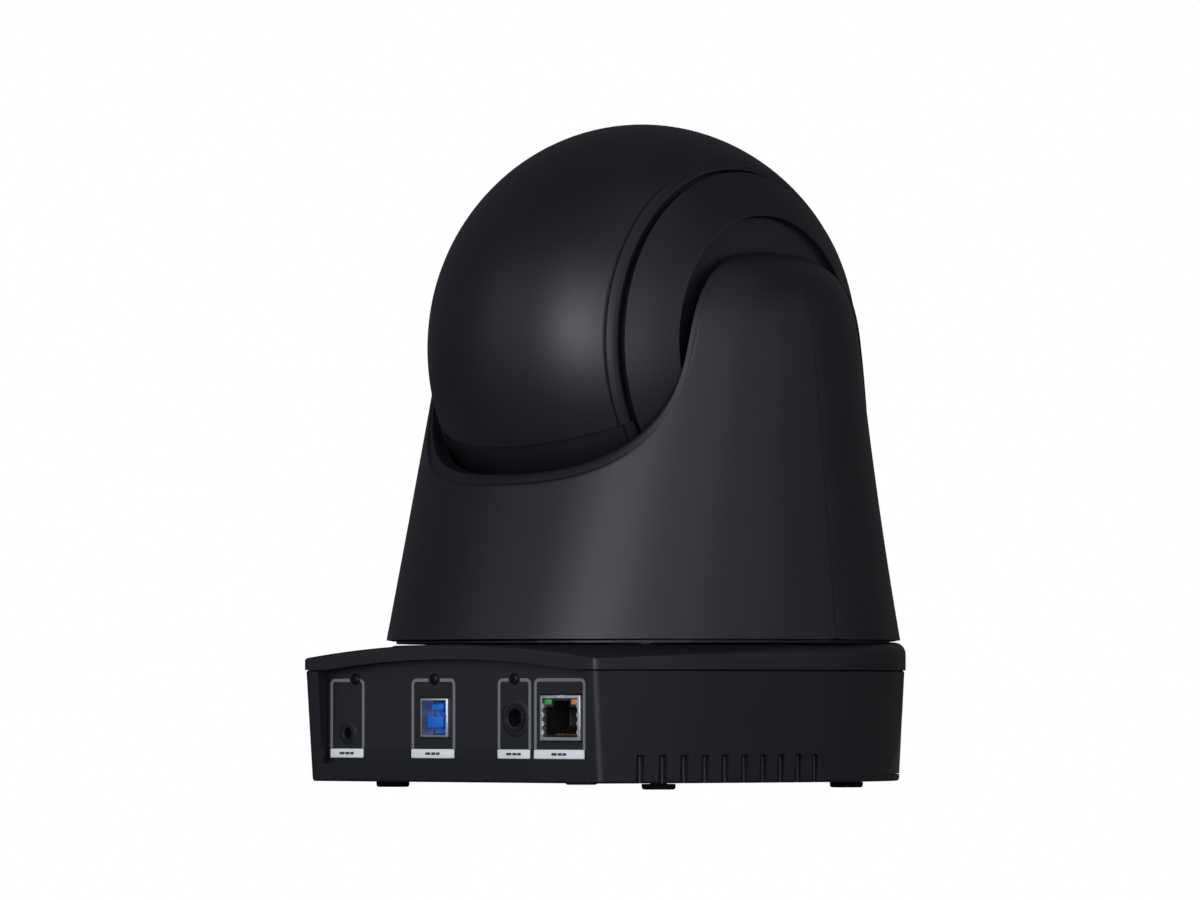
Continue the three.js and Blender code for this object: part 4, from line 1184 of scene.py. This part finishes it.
    def face(self) -> None:
        """Makes the face plate, the lens barrel and the front glass."""
        tall = math.sqrt(self.radius ** 2 - self.face_y ** 2)
        wide = tall * self.half_length / self.radius
        plate = spun([(25.8, -51.5), (30, -51.5), (30, -54.3), (tall - 0.8, -54.3), (tall - 0.6, -54.6),
                      (tall - 0.9, -55.2), (tall - 1.8, -55.6), (29.2, -56.5), (28.6, -56.6),
                      (26.2, -56.6), (25.8, -56.3)], "Y", 128, closed=True)
        for vert in plate.verts:
            spread = smooth(26.5, 30, math.hypot(vert.co.x, vert.co.z))
            vert.co.x *= lerp(1.0, wide / tall, spread)
        Bench.piece("face_plate", moved(plate, z=TILT_Z), Finishes.GLOSS, Body.HEAD, ["front_bezel"])
        barrel = [(22.4, -57), (22.6, -58.6), (23.2, -59.6), (24.2, -60), (25, -59.7), (25.5, -58.9),
                  (25.5, -50), (25.3, -20), (22.4, -20)]
        Bench.piece("lens_hood_ring", moved(spun(barrel, "Y", 128, closed=True), z=TILT_Z),
                    Finishes.GLOSS, Body.HEAD, ["lens_barrel"])
        dome = [(22 * (i / 16), -59.8 + 2.2 * (i / 16) ** 2) for i in range(17)]
        dome += [(22, -56.2), (0, -56.2)]
        Bench.piece("front_lens", moved(spun(dome, "Y", 96), z=TILT_Z), Finishes.GLASS, Body.HEAD,
                    ["lens_front_glass"])


# ---------------------------------------------------------------- studio


@dataclass
class Studio:
    """Camera, lights, floor and surroundings."""

    eye: tuple[float, float, float] = (-1627.5, 1760.0, 25.5)
    aim: tuple[float, float, float] = (9.3, 5.7, 99.0)
    lens: float = 244.8
    ambient: float = 1.85
    tint: tuple[float, float, float] = (0.93, 0.95, 1.04)
    lamps: tuple[tuple[str, float, float, Point, float], ...] = (
        ("key", 105, 9, (0.3, 0.45), 3.6),
        ("fill", 110, 16, (0.8, 0.9), 4.8),
        ("strip", 150, 12, (0.4, 1.0), 1.8),
        ("edge", 182, 10, (0.35, 1.0), 1.3),
        ("far_edge", 215, 14, (0.5, 1.0), 0.7),
        ("left", 60, 12, (0.7, 1.0), 1.4),
        ("bounce", 130, -3, (1.2, 0.2), 3.5),
        ("top", 150, 60, (1.0, 1.0), 1.0),
    )

    def camera(self) -> None:
        """Sets up the camera at the usual three-quarter rear view."""
        data = bpy.data.cameras.new("view")
        data.lens = self.lens
        data.sensor_width = 36
        data.clip_end = 50
        camera = bpy.data.objects.new("view", data)
        bpy.context.scene.collection.objects.link(camera)
        eye = Vector(self.eye) * MM
        camera.location = eye
        camera.rotation_euler = (Vector(self.aim) * MM - eye).to_track_quat("-Z", "Y").to_euler()
        bpy.context.scene.camera = camera

    def build(self) -> None:
        """Builds the surroundings."""
        scene = bpy.context.scene
        scene.view_settings.view_transform = "Standard"
        world = bpy.data.worlds.new("surroundings")
        world.use_nodes = True
        scene.world = world
        tree = world.node_tree
        shade = tree.nodes["Background"]
        shade.inputs["Color"].default_value = (*[0.05 * part for part in self.tint], 1)
        shade.inputs["Strength"].default_value = self.ambient
        seen = tree.nodes.new("ShaderNodeBackground")
        seen.inputs["Color"].default_value = (1, 1, 1, 1)
        pick = tree.nodes.new("ShaderNodeMixShader")
        ray = tree.nodes.new("ShaderNodeLightPath")
        tree.links.new(ray.outputs["Is Camera Ray"], pick.inputs["Fac"])
        tree.links.new(shade.outputs["Background"], pick.inputs[1])
        tree.links.new(seen.outputs["Background"], pick.inputs[2])
        tree.links.new(pick.outputs["Shader"], tree.nodes["World Output"].inputs["Surface"])
        self.floor()
        for name, azimuth, height, size, power in self.lamps:
            self.softbox(name, azimuth, height, 1.4, size, power)

    @staticmethod
    def floor() -> None:
        """Lays the pale floor."""
        work = bmesh.new()
        bmesh.ops.create_circle(work, cap_ends=True, segments=96, radius=12)
        data = bpy.data.meshes.new("floor")
        work.to_mesh(data)
        work.free()
        floor = bpy.data.objects.new("floor", data)
        bpy.context.scene.collection.objects.link(floor)
        paint = bpy.data.materials.new("floor")
        paint.use_nodes = True
        tree = paint.node_tree
        matte = tree.nodes["Principled BSDF"]
        matte.inputs["Base Color"].default_value = (0.30, 0.30, 0.30, 1)
        matte.inputs["Roughness"].default_value = 0.9
        glow = tree.nodes.new("ShaderNodeEmission")
        glow.inputs["Strength"].default_value = 1.0
        pick = tree.nodes.new("ShaderNodeMixShader")
        ray = tree.nodes.new("ShaderNodeLightPath")
        tree.links.new(ray.outputs["Is Camera Ray"], pick.inputs["Fac"])
        tree.links.new(matte.outputs["BSDF"], pick.inputs[1])
        tree.links.new(glow.outputs["Emission"], pick.inputs[2])
        tree.links.new(pick.outputs["Shader"], tree.nodes["Material Output"].inputs["Surface"])
        data.materials.append(paint)

    def softbox(
        self, name: str, azimuth: float, height: float, far: float, size: Point, power: float
    ) -> None:
        """Hangs a soft light that faces the camera body.

        Args:
            name: Light name.
            azimuth: Degrees from +X, anticlockwise seen from above.
            height: Degrees above the floor.
            far: Metres from the pan axis.
            size: Width and height in metres.
            power: Watts.
        """
        data = bpy.data.lights.new(name, "AREA")
        data.shape = "RECTANGLE"
        data.size, data.size_y = size
        data.energy = power
        data.color = self.tint
        lamp = bpy.data.objects.new(name, data)
        bpy.context.scene.collection.objects.link(lamp)
        turn, rise = math.radians(azimuth), math.radians(height)
        middle = Vector((0, 0, 0.1))
        level = math.cos(rise)
        spot = middle + far * Vector((math.cos(turn) * level, math.sin(turn) * level, math.sin(rise)))
        lamp.location = spot
        lamp.rotation_euler = (middle - spot).to_track_quat("-Z", "Y").to_euler()


def dress_frame() -> None:
    """Gives every CAD node the finish of its slot in the record."""
    for part in frame["record"]["subparts"]:
        node = frame["nodes"][part["node"]]
        node.data.materials.clear()
        node.data.materials.append(Finishes.by_slot(part["material_slot"]).material())


def main() -> None:
    """Builds the whole camera in order."""
    logging.basicConfig(level=logging.INFO, format="%(name)s: %(message)s")
    studio = Studio()
    studio.camera()
    dress_frame()
    for assembly in (Base(), RearPanel(), Turret(), Head()):
        assembly.build()
    studio.build()


if __name__ == "__main__":
    main()
